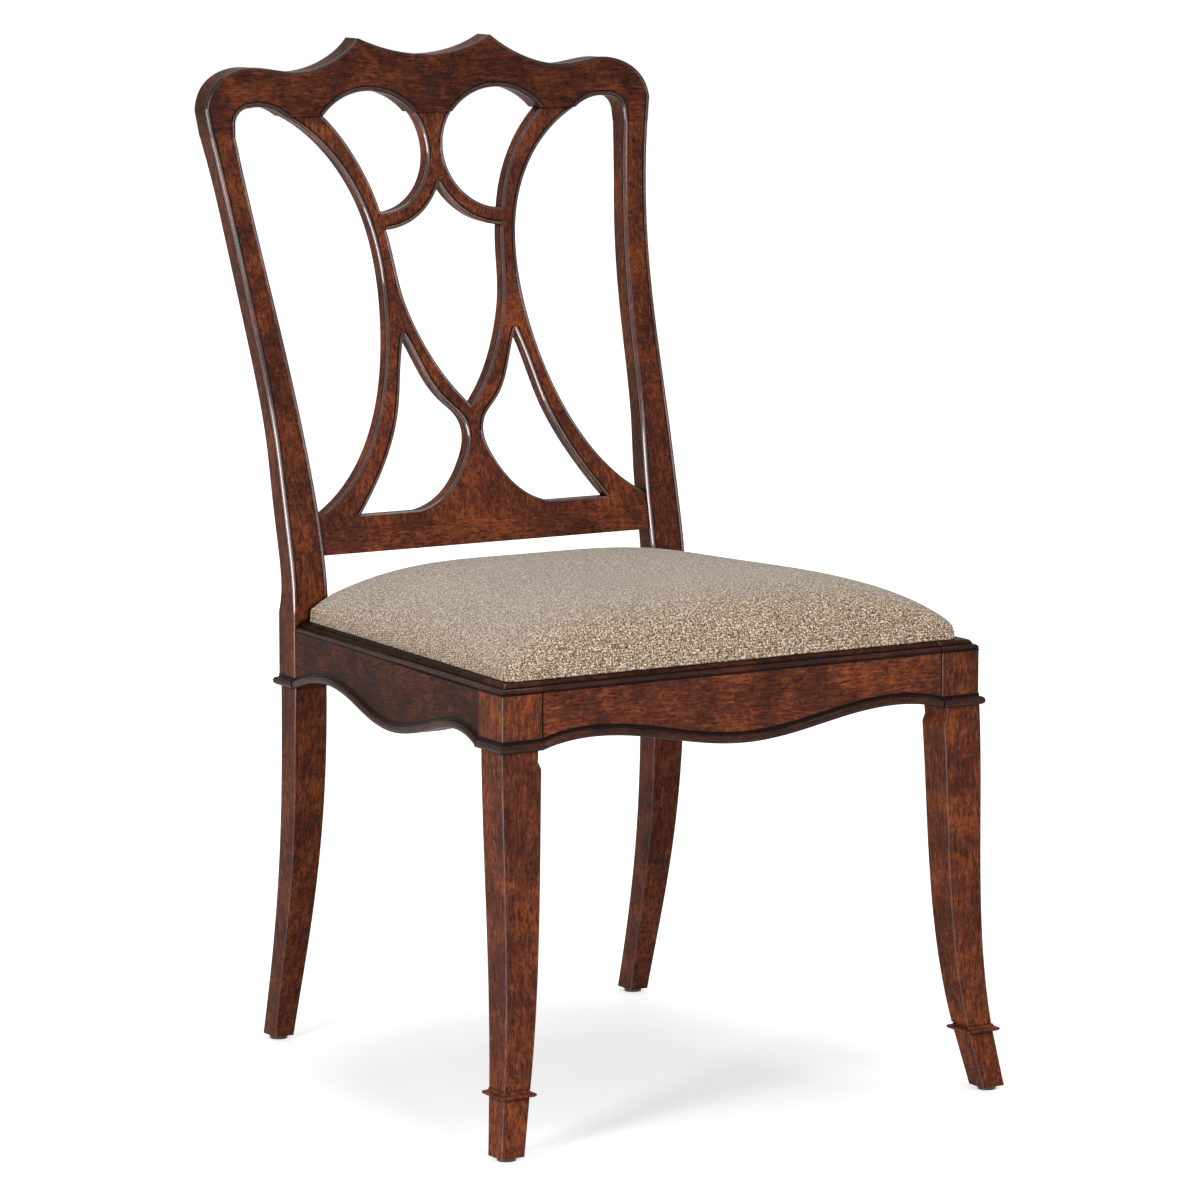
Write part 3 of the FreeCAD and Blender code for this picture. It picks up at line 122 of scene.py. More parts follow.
class Nodes:
    """Short calls for building one material's node tree."""

    def __init__(self, name):
        self.material = bpy.data.materials.new(name)
        self.material.use_nodes = True
        self.tree = self.material.node_tree
        self.shader = self.tree.nodes["Principled BSDF"]

    def add(self, kind, **values):
        node = self.tree.nodes.new(kind)
        for key, value in values.items():
            setattr(node, key, value)
        return node

    def link(self, source, target):
        self.tree.links.new(source, target)

    def coordinates(self, scale):
        """Object coordinates in metres, stretched by the scale."""
        place = self.add("ShaderNodeTexCoord")
        mapping = self.add("ShaderNodeMapping")
        mapping.inputs["Scale"].default_value = scale
        self.link(place.outputs["Object"], mapping.inputs["Vector"])
        return mapping.outputs["Vector"]

    def parts(self, vector):
        """The three numbers of a vector."""
        node = self.add("ShaderNodeSeparateXYZ")
        self.link(vector, node.inputs[0])
        return node.outputs

    def noise(self, vector, scale, detail=4.0, rough=0.55, warp=0.0):
        node = self.add("ShaderNodeTexNoise")
        node.inputs["Scale"].default_value = scale
        node.inputs["Detail"].default_value = detail
        node.inputs["Roughness"].default_value = rough
        node.inputs["Distortion"].default_value = warp
        self.link(vector, node.inputs["Vector"])
        return node.outputs["Fac"]

    def ramp(self, value, stops):
        node = self.add("ShaderNodeValToRGB")
        elements = node.color_ramp.elements
        while len(elements) < len(stops):
            elements.new(0.5)
        for element, (place, colour) in zip(elements, stops):
            element.position = place
            element.color = (*colour, 1.0)
        self.link(value, node.inputs["Fac"])
        return node.outputs["Color"]

    def mix(self, factor, first, second, blend="MIX"):
        node = self.add("ShaderNodeMix", data_type="RGBA", blend_type=blend)
        for number, item in ((MIX_FACTOR, factor), (MIX_FIRST, first), (MIX_SECOND, second)):
            socket = node.inputs[number]
            if hasattr(item, "links"):
                self.link(item, socket)
            elif isinstance(item, tuple):
                socket.default_value = (*item, 1.0)
            else:
                socket.default_value = item
        return node.outputs[MIX_RESULT]

    def math(self, operation, first, second=0.0):
        node = self.add("ShaderNodeMath", operation=operation)
        for socket, item in zip(node.inputs, (first, second)):
            if hasattr(item, "links"):
                self.link(item, socket)
            else:
                socket.default_value = item
        return node.outputs[0]

    def bump(self, height, strength, distance):
        node = self.add("ShaderNodeBump")
        node.inputs["Strength"].default_value = strength
        node.inputs["Distance"].default_value = distance
        self.link(height, node.inputs["Height"])
        self.link(node.outputs["Normal"], self.shader.inputs["Normal"])


def linear(red, green, blue):
    """A linear colour from 8-bit screen values."""
    def one(value):
        value /= 255.0
        return value / 12.92 if value <= 0.04045 else ((value + 0.055) / 1.055) ** 2.4
    return (one(red), one(green), one(blue))


def grey(level):
    return (level, level, level)


EVEN = (1.0, 1.0, 1.0)
ALONG = 0.16
GRAIN = {"x": (ALONG, 1.0, 1.0), "y": (1.0, ALONG, 1.0), "z": (1.0, 1.0, ALONG)}
# The wood's figure: how many marks to the metre, and each kind's share of the colour
STREAKS, MOTTLES, CLOUDS, FLECKS = 330.0, 150.0, 21.0, 900.0
STREAK_SHARE, MOTTLE_SHARE, CLOUD_SHARE = 0.36, 0.30, 0.34
DARK_WOOD, BROWN_WOOD, LIGHT_WOOD = (58, 29, 22), (83, 42, 28), (120, 62, 34)
# How far the painted shade in quirks and crevices reaches, in metres
PAINTED_SHADE_REACH = 0.006
FLECK_RELIEF = 0.0003
# The seat frame's upper step falls to the back, and painted shade darkens it under the cushion's edge
STEP_RISE, STEP_END = 4.4, 11.0
STEP_FOOT, STEP_TOP = (RAIL_LEVEL + STEP_RISE) * MM, (RAIL_LEVEL + STEP_END) * MM
STEP_START = -(FACE_Y + BLOCK_DEPTH) * MM
STEP_PAINTED_SHADE = 0.36


def polished_wood(name, axis, shade=1.0, coat=0.03, rough=0.22, rubbed=0.12, step=False):
    """Brown wood with fine streaks and soft clouds under varnish, with painted shade in its quirks
    and crevices, and, when step is set, on the seat frame's upper step.
    """
    wood = Nodes(f"{name}_{axis}")
    along = wood.coordinates(GRAIN[axis])
    plain = wood.coordinates(EVEN)
    streak = wood.noise(along, STREAKS, detail=3.0, rough=0.6, warp=0.3)
    mottle = wood.noise(plain, MOTTLES, detail=4.0, rough=0.65, warp=0.6)
    clouds = wood.noise(plain, CLOUDS, detail=3.0, rough=0.5, warp=0.5)
    fleck = wood.noise(along, FLECKS, detail=2.0, rough=0.7)
    figure = wood.math("MULTIPLY", clouds, CLOUD_SHARE)
    fine = wood.math("MULTIPLY", streak, STREAK_SHARE)
    fine = wood.math("ADD", fine, wood.math("MULTIPLY", mottle, MOTTLE_SHARE))
    base = wood.ramp(wood.math("ADD", figure, fine), [
        (0.41, linear(*DARK_WOOD)), (0.50, linear(*BROWN_WOOD)), (0.60, linear(*LIGHT_WOOD))])
    pores = wood.ramp(fleck, [(0.38, grey(0.42 * shade)), (0.47, grey(shade)),
                              (0.68, grey(1.2 * shade))])
    colour = wood.mix(1.0, base, pores, "MULTIPLY")
    # Painted shade: the colour darkens in quirks, crevices and between parts, by ambient occlusion
    crevice = wood.add("ShaderNodeAmbientOcclusion", samples=8)
    crevice.inputs["Distance"].default_value = PAINTED_SHADE_REACH
    painted_shade = wood.ramp(crevice.outputs["AO"], [(0.48, grey(0.04)), (0.92, grey(1.0))])
    colour = wood.mix(1.0, colour, painted_shade, "MULTIPLY")
    # Painted shade on the seat frame's upper step, under the cushion's edge
    if step:
        _, y, z = wood.parts(plain)
        fall = wood.math("MULTIPLY", wood.math("ADD", y, STEP_START), SEAT_SLOPE)
        level = wood.math("ADD", z, fall)
        within = wood.math("MULTIPLY", wood.math("GREATER_THAN", level, STEP_FOOT),
                           wood.math("LESS_THAN", level, STEP_TOP))
        step_shaded = wood.mix(1.0, colour, grey(STEP_PAINTED_SHADE), "MULTIPLY")
        colour = wood.mix(within, colour, step_shaded)
    wood.link(colour, wood.shader.inputs["Base Color"])
    wood.shader.inputs["Roughness"].default_value = 0.45
    wood.shader.inputs["Specular IOR Level"].default_value = 0.03
    wood.shader.inputs["Coat Weight"].default_value = coat
    wood.shader.inputs["Coat Roughness"].default_value = rough
    wood.bump(fleck, rubbed, FLECK_RELIEF)
    return wood.material


WOOD = {axis: polished_wood("polished_wood", axis, step=True) for axis in ("x", "z")}
CREST_WOOD = polished_wood("crest_wood", "x", shade=0.60)
SIDE_WOOD = polished_wood("side_wood", "y", shade=0.36, coat=0.0, step=True)
POST_WOOD = polished_wood("post_wood", "z", shade=0.76)
MOULD = {axis: polished_wood("moulded_wood", axis, shade=0.30, coat=0.22, rough=0.14)
         for axis in ("x", "y")}
GLOSS = polished_wood("rubbed_bead", "z", shade=0.66, coat=1.0, rough=0.08, rubbed=0.45)
CREST_GLOSS = polished_wood("crest_bead", "x", shade=0.30, coat=0.55, rough=0.08, rubbed=0.3)

# The cloth: the weave's pitch in metres, and how many yarn flecks and patches to the metre
WEAVE_PITCH = 0.0030
YARNS, PATCHES = 600.0, 9.0
YARN_RELIEF, CLOTH_RELIEF = 2.0, 0.0006


def seat_fabric():
    """Flecked beige cloth woven on the slant, with pale and brown yarns."""
    cloth = Nodes("seat_fabric")
    plain = cloth.coordinates(EVEN)
    x, y, z = cloth.parts(plain)
    turn = 2 * math.pi / WEAVE_PITCH
    slant = cloth.math("ADD", x, cloth.math("ADD", y, z))
    warp = cloth.math("SINE", cloth.math("MULTIPLY", slant, turn))
    weft = cloth.math("SINE", cloth.math("MULTIPLY", cloth.math("SUBTRACT", x, y), turn))
    weave = cloth.math("ADD", cloth.math("MULTIPLY", cloth.math("MULTIPLY", warp, weft), 0.5), 0.5)
    yarn = cloth.noise(plain, YARNS, detail=2.0, rough=0.75)
    patch = cloth.noise(plain, PATCHES, detail=2.0)
    tint = cloth.ramp(yarn, [(0.38, linear(66, 44, 27)), (0.46, linear(132, 108, 82)),
                             (0.54, linear(162, 141, 114)), (0.64, linear(236, 224, 206))])
    shade = cloth.ramp(weave, [(0.0, grey(0.42)), (0.45, grey(0.96)), (1.0, grey(1.28))])
    tone = cloth.ramp(patch, [(0.35, grey(0.87)), (0.65, grey(0.94))])
    colour = cloth.mix(1.0, cloth.mix(1.0, tint, shade, "MULTIPLY"), tone, "MULTIPLY")
    cloth.link(colour, cloth.shader.inputs["Base Color"])
    cloth.shader.inputs["Roughness"].default_value = 0.92
    cloth.shader.inputs["Specular IOR Level"].default_value = 0.2
    cloth.shader.inputs["Sheen Weight"].default_value = 0.27
    cloth.shader.inputs["Sheen Roughness"].default_value = 0.5
    height = cloth.math("ADD", weave, cloth.math("MULTIPLY", yarn, YARN_RELIEF))
    cloth.bump(height, 0.5, CLOTH_RELIEF)
    return cloth.material


FABRIC = seat_fabric()

MOTTLE_DARK = 0.82


def mottled(name, colour, roughness, metallic=0.0, grain=60.0, shine=0.5):
    """A material with a light mottling, for hidden and small pieces."""
    item = Nodes(name)
    cloud = item.noise(item.coordinates(EVEN), grain, detail=3.0)
    dark = tuple(value * MOTTLE_DARK for value in colour)
    item.link(item.ramp(cloud, [(0.35, dark), (0.65, colour)]), item.shader.inputs["Base Color"])
    item.shader.inputs["Roughness"].default_value = roughness
    item.shader.inputs["Metallic"].default_value = metallic
    item.shader.inputs["Specular IOR Level"].default_value = shine
    item.bump(cloud, 0.1, FLECK_RELIEF)
    return item.material


BARE = mottled("bare_wood", linear(196, 160, 116), 0.6)
PLYWOOD = mottled("plywood", linear(202, 172, 128), 0.65)
DUST = mottled("dust_cloth", linear(26, 26, 28), 0.9, grain=900.0)
STEEL = mottled("steel", linear(190, 190, 190), 0.35, 1.0)
GLIDE = mottled("glide", linear(58, 40, 36), 0.45)
# Dark glaze in the joints, and painted shade for the dark strips in quirks, under mouldings and
# beside beads
JOINT_GLAZE_AND_PAINTED_SHADE = mottled("joint_glaze_and_painted_shade", linear(16, 9, 8), 0.5, shine=0.05)

RAIL_WOOD = {
    "back_splat": WOOD["z"], "crest_rail": CREST_WOOD, "lower_back_rail": WOOD["x"],
    "front_seat_rail": WOOD["x"], "rear_seat_rail": WOOD["x"],
    "left_seat_rail": SIDE_WOOD, "right_seat_rail": SIDE_WOOD}
SLOT_MATERIAL = {"bare_wood": BARE, "plywood": PLYWOOD, "dust_cloth": DUST, "steel": STEEL,
                 "glide": GLIDE}


def paint(obj, material):
    obj.data.materials.clear()
    obj.data.materials.append(material)


for name, material in RAIL_WOOD.items():
    paint(nodes[name], material)
for row in frame["record"]["subparts"]:
    if row["material_slot"] in SLOT_MATERIAL:
        paint(nodes[row["node"]], SLOT_MATERIAL[row["material_slot"]])


# Pieces of the scene, and skins over runs of rings
CREASE = 32


def new_piece(name, verts, faces, slot, material, crease=CREASE):
    """A smooth-shaded piece from points in millimetres of the drawing."""
    mesh = bpy.data.meshes.new(name)
    mesh.from_pydata([tuple(at(*vert)) for vert in verts], [], faces)
    mesh.validate()
    tool = bmesh.new()
    tool.from_mesh(mesh)
    bmesh.ops.recalc_face_normals(tool, faces=tool.faces)
    for edge in tool.edges:
        if len(edge.link_faces) == 2 and edge.calc_face_angle(0.0) > math.radians(crease):
            edge.smooth = False
    tool.to_mesh(mesh)
    tool.free()
    for polygon in mesh.polygons:
        polygon.use_smooth = True
    obj = bpy.data.objects.new(name, mesh)
    scene.collection.objects.link(obj)
    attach(obj, "root")
    paint(obj, material)
    return obj


def skin(rings):
    """Points and faces of a run of rings of equal length, with a cap at each end."""
    count = len(rings[0])
    verts = [vert for ring in rings for vert in ring]
    faces = []
    for index in range(len(rings) - 1):
        low, high = index * count, (index + 1) * count
        for step in range(count):
            after = (step + 1) % count
            faces.append((low + step, low + after, high + after, high + step))
    last = (len(rings) - 1) * count
    faces.append(tuple(range(count - 1, -1, -1)))
    faces.append(tuple(last + step for step in range(count)))
    return verts, faces


def add_skin(verts, faces, rings):
    """Add the skin of one run of rings to a piece's points and faces."""
    more, skins = skin(rings)
    shift = len(verts)
    verts += more
    faces += [tuple(index + shift for index in face) for face in skins]


# Cushion: a stuffed crown over the seat board, with a tongue between the posts
FRONT, BACK, TAIL, CROWN_END = 11.5, 474.0, 500.4, 497.0
FRONT_HALF, BACK_HALF, TONGUE_HALF = 257.7, 215.5, 192.9
PLAN_CORNER = 15.0
CROWN = 58.9
# The crown falls to its sides, its front and its back by powers: how late, and how full
SIDE_POWER, SIDE_FULLNESS = 4.5, 0.64
FRONT_POWER, FRONT_FULLNESS = 5.0, 0.33
BACK_POWER, BACK_FULLNESS = 3.5, 0.42
WALL, WALL_ROUND = 8.0, 4.0
POST_EASE = 5.0
# At the back the cloth wraps the board's edge, and runs smoothly into the crown
BOARD_WRAP, WRAP_ROUND = 13.4, 1.2
WRAP_START, WRAP_RUN, WRAP_BLEND = 440.0, 30.0, 5.0
# The stuffing is slightly uneven: its share of the height, and its waves' radians per millimetre
PULL = 0.008
PULL_ACROSS, PULL_ALONG = 0.021, 0.026
PULL_START, PULL_SHIFT = 1.3, 0.4
BASE_MIDDLE = 245.0
INNER_STEPS, WING_STEPS, MAIN_STEPS, TAIL_STEPS = 64, 14, 80, 10


def seat_level(y):
    """The level of the cushion's base, which falls to the back from behind the front legs."""
    return SEAT_LEVEL - (y - BLOCK_DEPTH) * SEAT_SLOPE


def plan_half(y):
    """Half the cushion's width at a distance behind the front legs' faces."""
    half = FRONT_HALF + (y - FRONT) / (BACK - FRONT) * (BACK_HALF - FRONT_HALF)
    inside = PLAN_CORNER - (y - FRONT)
    if inside > 0:
        half -= PLAN_CORNER - math.sqrt(max(PLAN_CORNER ** 2 - inside ** 2, 0.0))
    return half


def rounded(distance, radius):
    """A quarter round that rises from 0 at an edge to 1 at its radius."""
    return math.sqrt(1 - (1 - clamped(distance / radius)) ** 2)


def crown_share(x, y):
    """How much of the crown's full height there is; its sides grow softer to the back."""
    middle = (FRONT + BACK) / 2
    across = min(abs(x) / plan_half(y), 1.0)
    if y < middle:
        ends = (1 - ((middle - y) / (middle - FRONT)) ** FRONT_POWER) ** FRONT_FULLNESS
    else:
        along = min((y - middle) / (CROWN_END - middle), 1.0)
        ends = (1 - along ** BACK_POWER) ** BACK_FULLNESS
    side_power = SIDE_POWER - (y - FRONT) / (CROWN_END - FRONT)
    return (1 - across ** side_power) ** SIDE_FULLNESS * ends


def crown_height(x, y):
    """The cushion's height over its base, nil along every edge."""
    edge = min(plan_half(y) - abs(x), y - FRONT, TAIL - y)
    apart = math.hypot(max(TONGUE_HALF - abs(x), 0.0), max(BACK - y, 0.0))
    height = CROWN * crown_share(x, y) + WALL * rounded(edge, WALL_ROUND)
    height *= rounded(apart, POST_EASE)
    waves = math.sin(x * PULL_ACROSS + PULL_START) * math.sin(y * PULL_ALONG + PULL_SHIFT)
    height *= 1 + PULL * waves
    wrap = BOARD_WRAP * clamped((y - WRAP_START) / WRAP_RUN) * rounded(min(edge, apart), WRAP_ROUND)
    return (height ** WRAP_BLEND + wrap ** WRAP_BLEND) ** (1 / WRAP_BLEND)


def eased(count):
    """Shares from 0 to 1 that crowd towards both ends."""
    return [(1 - math.cos(math.pi * step / count)) / 2 for step in range(count + 1)]


def cushion_columns(y):
    """Places across one row: the tongue's width, and over the seat the wings beside it."""
    inner = [TONGUE_HALF * (2 * share - 1) for share in eased(INNER_STEPS)]
    if y > BACK:
        return inner
    span = plan_half(y) - TONGUE_HALF
    wings = [TONGUE_HALF + span * share for share in eased(WING_STEPS)[1:]]
    return [-x for x in reversed(wings)] + inner + wings


def cushion_rim(main, tail):
    """The points round the cushion's edge, from its front over the tongue and back."""
    rim = list(main[0]) + [row[-1] for row in main[1:]]
    rim += list(reversed(main[-1][-WING_STEPS - 1:-1]))
    rim += [row[-1] for row in tail] + list(reversed(tail[-1][:-1]))
    rim += [row[0] for row in reversed(tail[:-1])]
    return rim + list(reversed(main[-1][:WING_STEPS + 1])) + [row[0] for row in reversed(main[1:-1])]


def seat_cushion():
    main_places = [FRONT + (BACK - FRONT) * share for share in eased(MAIN_STEPS)]
    tail_places = [BACK + (TAIL - BACK) * share for share in eased(TAIL_STEPS)[1:]]
    verts, rows = [], []
    for y in main_places + tail_places:
        columns = cushion_columns(y)
        rows.append(list(range(len(verts), len(verts) + len(columns))))
        verts += [(x, y, seat_level(y) + crown_height(x, y)) for x in columns]
    faces = []
    for near, far in zip(rows, rows[1:]):
        if len(near) > len(far):
            near = near[WING_STEPS:-WING_STEPS]
        faces += list(zip(near, near[1:], far[1:], far))
    rim = cushion_rim(rows[:len(main_places)], rows[len(main_places):])
    middle = len(verts)
    verts.append((0, (FRONT + TAIL) / 2, seat_level(BASE_MIDDLE)))
    faces += [(middle, second, first) for first, second in zip(rim, rim[1:] + rim[:1])]
    cushion = new_piece("seat_cushion", verts, faces, "seat_fabric", FABRIC)
    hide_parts("seat_cover", "seat_foam")


seat_cushion()


# Legs and posts: rings taken from the CAD piece's own sections, with worked corners
CORNER_STEPS = 5
CORNER_POINTS = CORNER_STEPS + 1
RUB, BACK_ROUND = 0.9, 4.5
THIN = [(RUB * (1 - step / CORNER_STEPS), RUB * step / CORNER_STEPS) for step in range(CORNER_POINTS)]
ALL_THIN = [THIN] * 4


def round_corner(radius):
    """Insets (along the first side, along the second) of a plain rounded corner."""
    turns = [math.pi / 2 * step / CORNER_STEPS for step in range(CORNER_POINTS)]
    return [(radius * (1 - math.sin(turn)), radius * (1 - math.cos(turn))) for turn in turns]


def ring_at(place, level, corners):
    """A ring round a rectangle; corners go front low x, front high x, back high x, back low x."""
    x0, x1, y0, y1 = place
    ring = []
    front_low, front_high, back_high, back_low = corners
    ring += [(x0 + b, y0 + a, level) for a, b in front_low]
    ring += [(x1 - a, y0 + b, level) for a, b in front_high]
    ring += [(x1 - b, y1 - a, level) for a, b in back_high]
    ring += [(x0 + a, y1 - b, level) for a, b in back_low]
    return ring


def shaft(name, node, rings, material):
    """A leg or post from its rings, with glossy rubbed corners in front."""
    piece = new_piece(name, *skin(rings), "polished_wood", material)
    piece.data.materials.append(GLOSS)
    count = len(rings[0])
    for polygon in piece.data.polygons:
        step = polygon.index % count
        if len(polygon.vertices) == 4 and step < count // 2 and step % CORNER_POINTS < CORNER_STEPS:
            polygon.material_index = 1
    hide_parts(node)


def spaced(low, high, step):
    count = max(int(round((high - low) / step)), 1)
    return [low + (high - low) * index / count for index in range(count + 1)]


# Spacing of the rings up a post, and of those up a foot, a leg and a stile
POST_PITCH, FOOT_PITCH, LEG_PITCH, STILE_PITCH = 12, 9, 12, 8
POST_STOP, POST_TOP = 450.0, 923.0
STILE_RISES = (1.0, 4.0, 8.0, 13.0)
STILE_START = POST_STOP + 20.0
ROUND_IN, ROUND_OUT = 25.0, 60.0


def back_post(word):
    """The raked leg and its block, and above them the stile with its rounded back edges."""
    levels = spaced(FOOT_LEVEL, POST_LEVEL - HAIR, POST_PITCH)
    levels += spaced(POST_LEVEL + HAIR, POST_STOP - HAIR, POST_PITCH)
    levels += [POST_STOP + rise for rise in STILE_RISES]
    levels += spaced(STILE_START, POST_TOP, STILE_PITCH)
    node = f"back_post_{word}"
    rings = []
    for place, level in zip(sections(node, levels), levels):
        share = clamped(min((level - POST_STOP) / ROUND_IN, (POST_TOP - level) / ROUND_OUT))
        worked = round_corner(RUB + (BACK_ROUND - RUB) * share)
        rings.append(ring_at(place, level, [THIN, THIN, worked, worked]))
    shaft(f"post_{word}", node, rings, POST_WOOD)


# A collar's rounded edge under its hollow top: (rise over its underside, growth)
COLLAR = [(0.0, 0.2), (0.1, 2.4), (0.7, 4.0), (1.6, 4.9), (2.6, 5.2), (3.5, 4.8), (4.1, 3.8),
          (4.2, 2.4), (4.8, 1.3), (5.9, 0.6), (7.0, 0.1)]
COLLAR_LEVEL = 58.5
COLLAR_TOP = COLLAR_LEVEL + COLLAR[-1][0]
RELIEF, RELIEF_LOW, RELIEF_HIGH = 3.6, 366.0, 372.7
# Rings up the block, and those of its moulded top over the rails' moulding
BLOCK_RINGS = (400.0, 420.0)
TOP_RISES = (4.9, 5.6, 6.4, 7.2, 7.9, 8.5, 8.95)


def front_leg(word):
    """The block with its moulded top, the sabre leg and the collar over the foot."""
    node = f"front_leg_{word}"
    low = spaced(FOOT_LEVEL, COLLAR_LEVEL - HAIR, FOOT_PITCH)
    high = spaced(COLLAR_TOP + HAIR, BLOCK_LEVEL - HAIR, LEG_PITCH) + [RELIEF_LOW, RELIEF_HIGH]
    high = sorted(high) + [BLOCK_LEVEL + HAIR, *BLOCK_RINGS, RAIL_LEVEL - HAIR, RAIL_LEVEL + HAIR]
    high += [RAIL_LEVEL + rise for rise in TOP_RISES]
    rings = [ring_at(place, level, ALL_THIN)
             for place, level in zip(sections(node, low), low)]
    x0, x1, y0, y1 = sections(node, [COLLAR_LEVEL - HAIR])[0]
    for rise, growth in COLLAR:
        place = (x0 - growth, x1 + growth, y0 - growth, y1 + growth)
        rings.append(ring_at(place, COLLAR_LEVEL + rise, ALL_THIN))
    for (x0, x1, y0, y1), level in zip(sections(node, high), high):
        share = clamped((level - RELIEF_LOW) / (RELIEF_HIGH - RELIEF_LOW))
        relief = RELIEF * share if level < BLOCK_LEVEL else 0.0
        place = (x0 + relief, x1, y0, y1) if SIDES[word] > 0 else (x0, x1 - relief, y0, y1)
        rings.append(ring_at(place, level, ALL_THIN))
    shaft(f"leg_{word}", node, rings, WOOD["z"])


for word in SIDES:
    back_post(word)
    front_leg(word)


# Runs of bead and moulding: a profile of (out, up) carried along a path
MITRE_LIMIT = 0.5


def outward(path):
    """Mitred outward directions of a path whose outside is on its right, seen from above."""
    sides = []
    for first, second in zip(path, path[1:]):
        run = Vector((second[0] - first[0], second[1] - first[1])).normalized()
        sides.append(Vector((run.y, -run.x)))
    found = []
    for before, after in zip(sides[:1] + sides, sides + sides[-1:]):
        middle = (before + after).normalized()
        found.append(middle / max(middle.dot(before), MITRE_LIMIT))
    return found


def strip(name, path, profile, material, node=None, side=1):
    """A moulding along a path of (x, y, level) on one side of the chair."""
    rings = [[(side * (x + way.x * out), y + way.y * out, level + up) for out, up in profile]
             for (x, y, level), way in zip(path, outward(path))]
    verts, faces = skin(rings)
    piece = new_piece(name, verts, faces, "polished_wood", material)
    if node:
        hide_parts(node)


# Profiles as (out, up) from the path: half a round for the beads, a quarter for the rails' tops
HALF_STEPS = 12
HALF_TURN = [math.pi * (step / HALF_STEPS - 0.5) for step in range(HALF_STEPS + 1)]
QUARTER_TURN = HALF_TURN[HALF_STEPS // 2:]


def arch(out, up, reach, rise, turns):
    """The points of a round about a centre, with its own reach and rise."""
    return [(out + reach * math.cos(turn), up + rise * math.sin(turn)) for turn in turns]


HALF_ROUND = [(-0.6, 0.0), (0.9, 0.0), *arch(1.3, 4.0, 3.5, 4.0, HALF_TURN[1:-1]),
              (0.9, 8.0), (0.5, 8.5), (-0.6, 8.6)]
# Dark strips of painted shade: in the quirk over a bead, under a moulding and in its step
QUIRK = [(-0.5, 8.2), (0.15, 8.3), (0.15, 11.2), (-0.5, 11.3)]
TOP_MOULD = [(-9.0, -0.2), (-1.1, -0.2), (-0.9, 0.4), *arch(-5.0, 0.6, 4.9, 4.0, QUARTER_TURN),
             (-5.3, 4.1), (-9.0, 4.1)]
UNDER_LINE = [(-0.5, -1.7), (0.12, -1.6), (0.12, -0.2), (-0.5, -0.1)]
STEP_LINE = [(-5.6, 4.2), (-4.85, 4.4), (-4.85, 5.6), (-5.6, 5.7)]


def beaded(word, path, axis, node, side=1):
    """A bead with a dark strip in the quirk above it, which is painted shade."""
    strip(f"bead_{word}", path, HALF_ROUND, MOULD[axis], node, side)
    strip(f"quirk_{word}", path, QUIRK, JOINT_GLAZE_AND_PAINTED_SHADE, None, side)


def moulded(word, path, axis, side=1):
    """A rail's top moulding with dark strips of painted shade under it and in its step."""
    strip(f"mould_{word}", path, TOP_MOULD, MOULD[axis], None, side)
    strip(f"mould_under_{word}", path, UNDER_LINE, JOINT_GLAZE_AND_PAINTED_SHADE, None, side)
    strip(f"mould_step_{word}", path, STEP_LINE, JOINT_GLAZE_AND_PAINTED_SHADE, None, side)


def rail_face(y):
    """Distance from the middle plane to a side rail's outer face."""
    share = (y - BLOCK_DEPTH) / (POST_FRONT - BLOCK_DEPTH)
    return BLOCK_OUT - SETBACK + share * (POST_OUT - BLOCK_OUT)


# A point is on the bead's underside where nothing within this run is lower by more than this rise
EDGE_RUN, EDGE_RISE = 12, 5


def lower_edge(name, axis, places):
    """The CAD bead's lower edge at each place along the axis."""
    points = {}
    for vert in nodes[name].data.vertices:
        spot = drawn(vert.co)
        key = round(spot[axis], 1)
        points[key] = min(points.get(key, spot.z), spot.z)
    keys = [key for key in sorted(points)
            if points[key] < EDGE_RISE + min(z for other, z in points.items()
                                             if abs(other - key) < EDGE_RUN)]
    found = []
    for place in places:
        after = next((index for index, key in enumerate(keys) if key >= place), len(keys) - 1)
        first, second = keys[max(after - 1, 0)], keys[after]
        share = (place - first) / (second - first) if second > first else 0.0
        found.append(points[first] + (points[second] - points[first]) * clamped(share))
    return found


BEAD_PITCH = 5


def front_run():
    """The front rail's bead and top moulding."""
    places = spaced(-BLOCK_IN, BLOCK_IN, BEAD_PITCH)
    levels = lower_edge("apron_bead_front", 0, places)
    beaded("front", [(x, SETBACK, level) for x, level in zip(places, levels)], "x",
           "apron_bead_front")
    moulded("front", [(x, SETBACK, RAIL_LEVEL) for x in (-BLOCK_IN, 0.0, BLOCK_IN)], "x")


def side_run(word, side):
    """One side rail's bead and moulding, and those round its front block and its post."""
    places = spaced(BLOCK_DEPTH, POST_FRONT, BEAD_PITCH)
    levels = lower_edge(f"apron_bead_{word}", 1, places)
    beaded(word, [(rail_face(y), y, level) for y, level in zip(places, levels)], "y",
           f"apron_bead_{word}", side)
    moulded(word, [(rail_face(BLOCK_DEPTH), BLOCK_DEPTH, RAIL_LEVEL),
                   (rail_face(POST_FRONT), POST_FRONT, REAR_LEVEL)], "y", side)
    corner = [(BLOCK_IN, 0.0), (BLOCK_OUT, 0.0), (BLOCK_OUT, BLOCK_DEPTH)]
    beaded(f"leg_{word}", [(x, y, BLOCK_LEVEL) for x, y in corner], "x",
           f"leg_bead_front_{word}", side)
    moulded(f"leg_{word}", [(x, y, RAIL_LEVEL) for x, y in corner], "x", side)
    corner = [(POST_OUT, POST_FRONT), (POST_OUT, POST_BACK), (POST_IN, POST_BACK)]
    beaded(f"post_{word}", [(x, y, POST_LEVEL) for x, y in corner], "y",
           f"leg_bead_rear_{word}", side)


front_run()
for word, side in SIDES.items():
    side_run(word, side)


# Dark glaze in the upright joints between the rails and the blocks
JOINT_WIDE, JOINT_DEEP, JOINT_LOW = 1.3, 3.0, 392.0
LINE_PROUD = 0.12


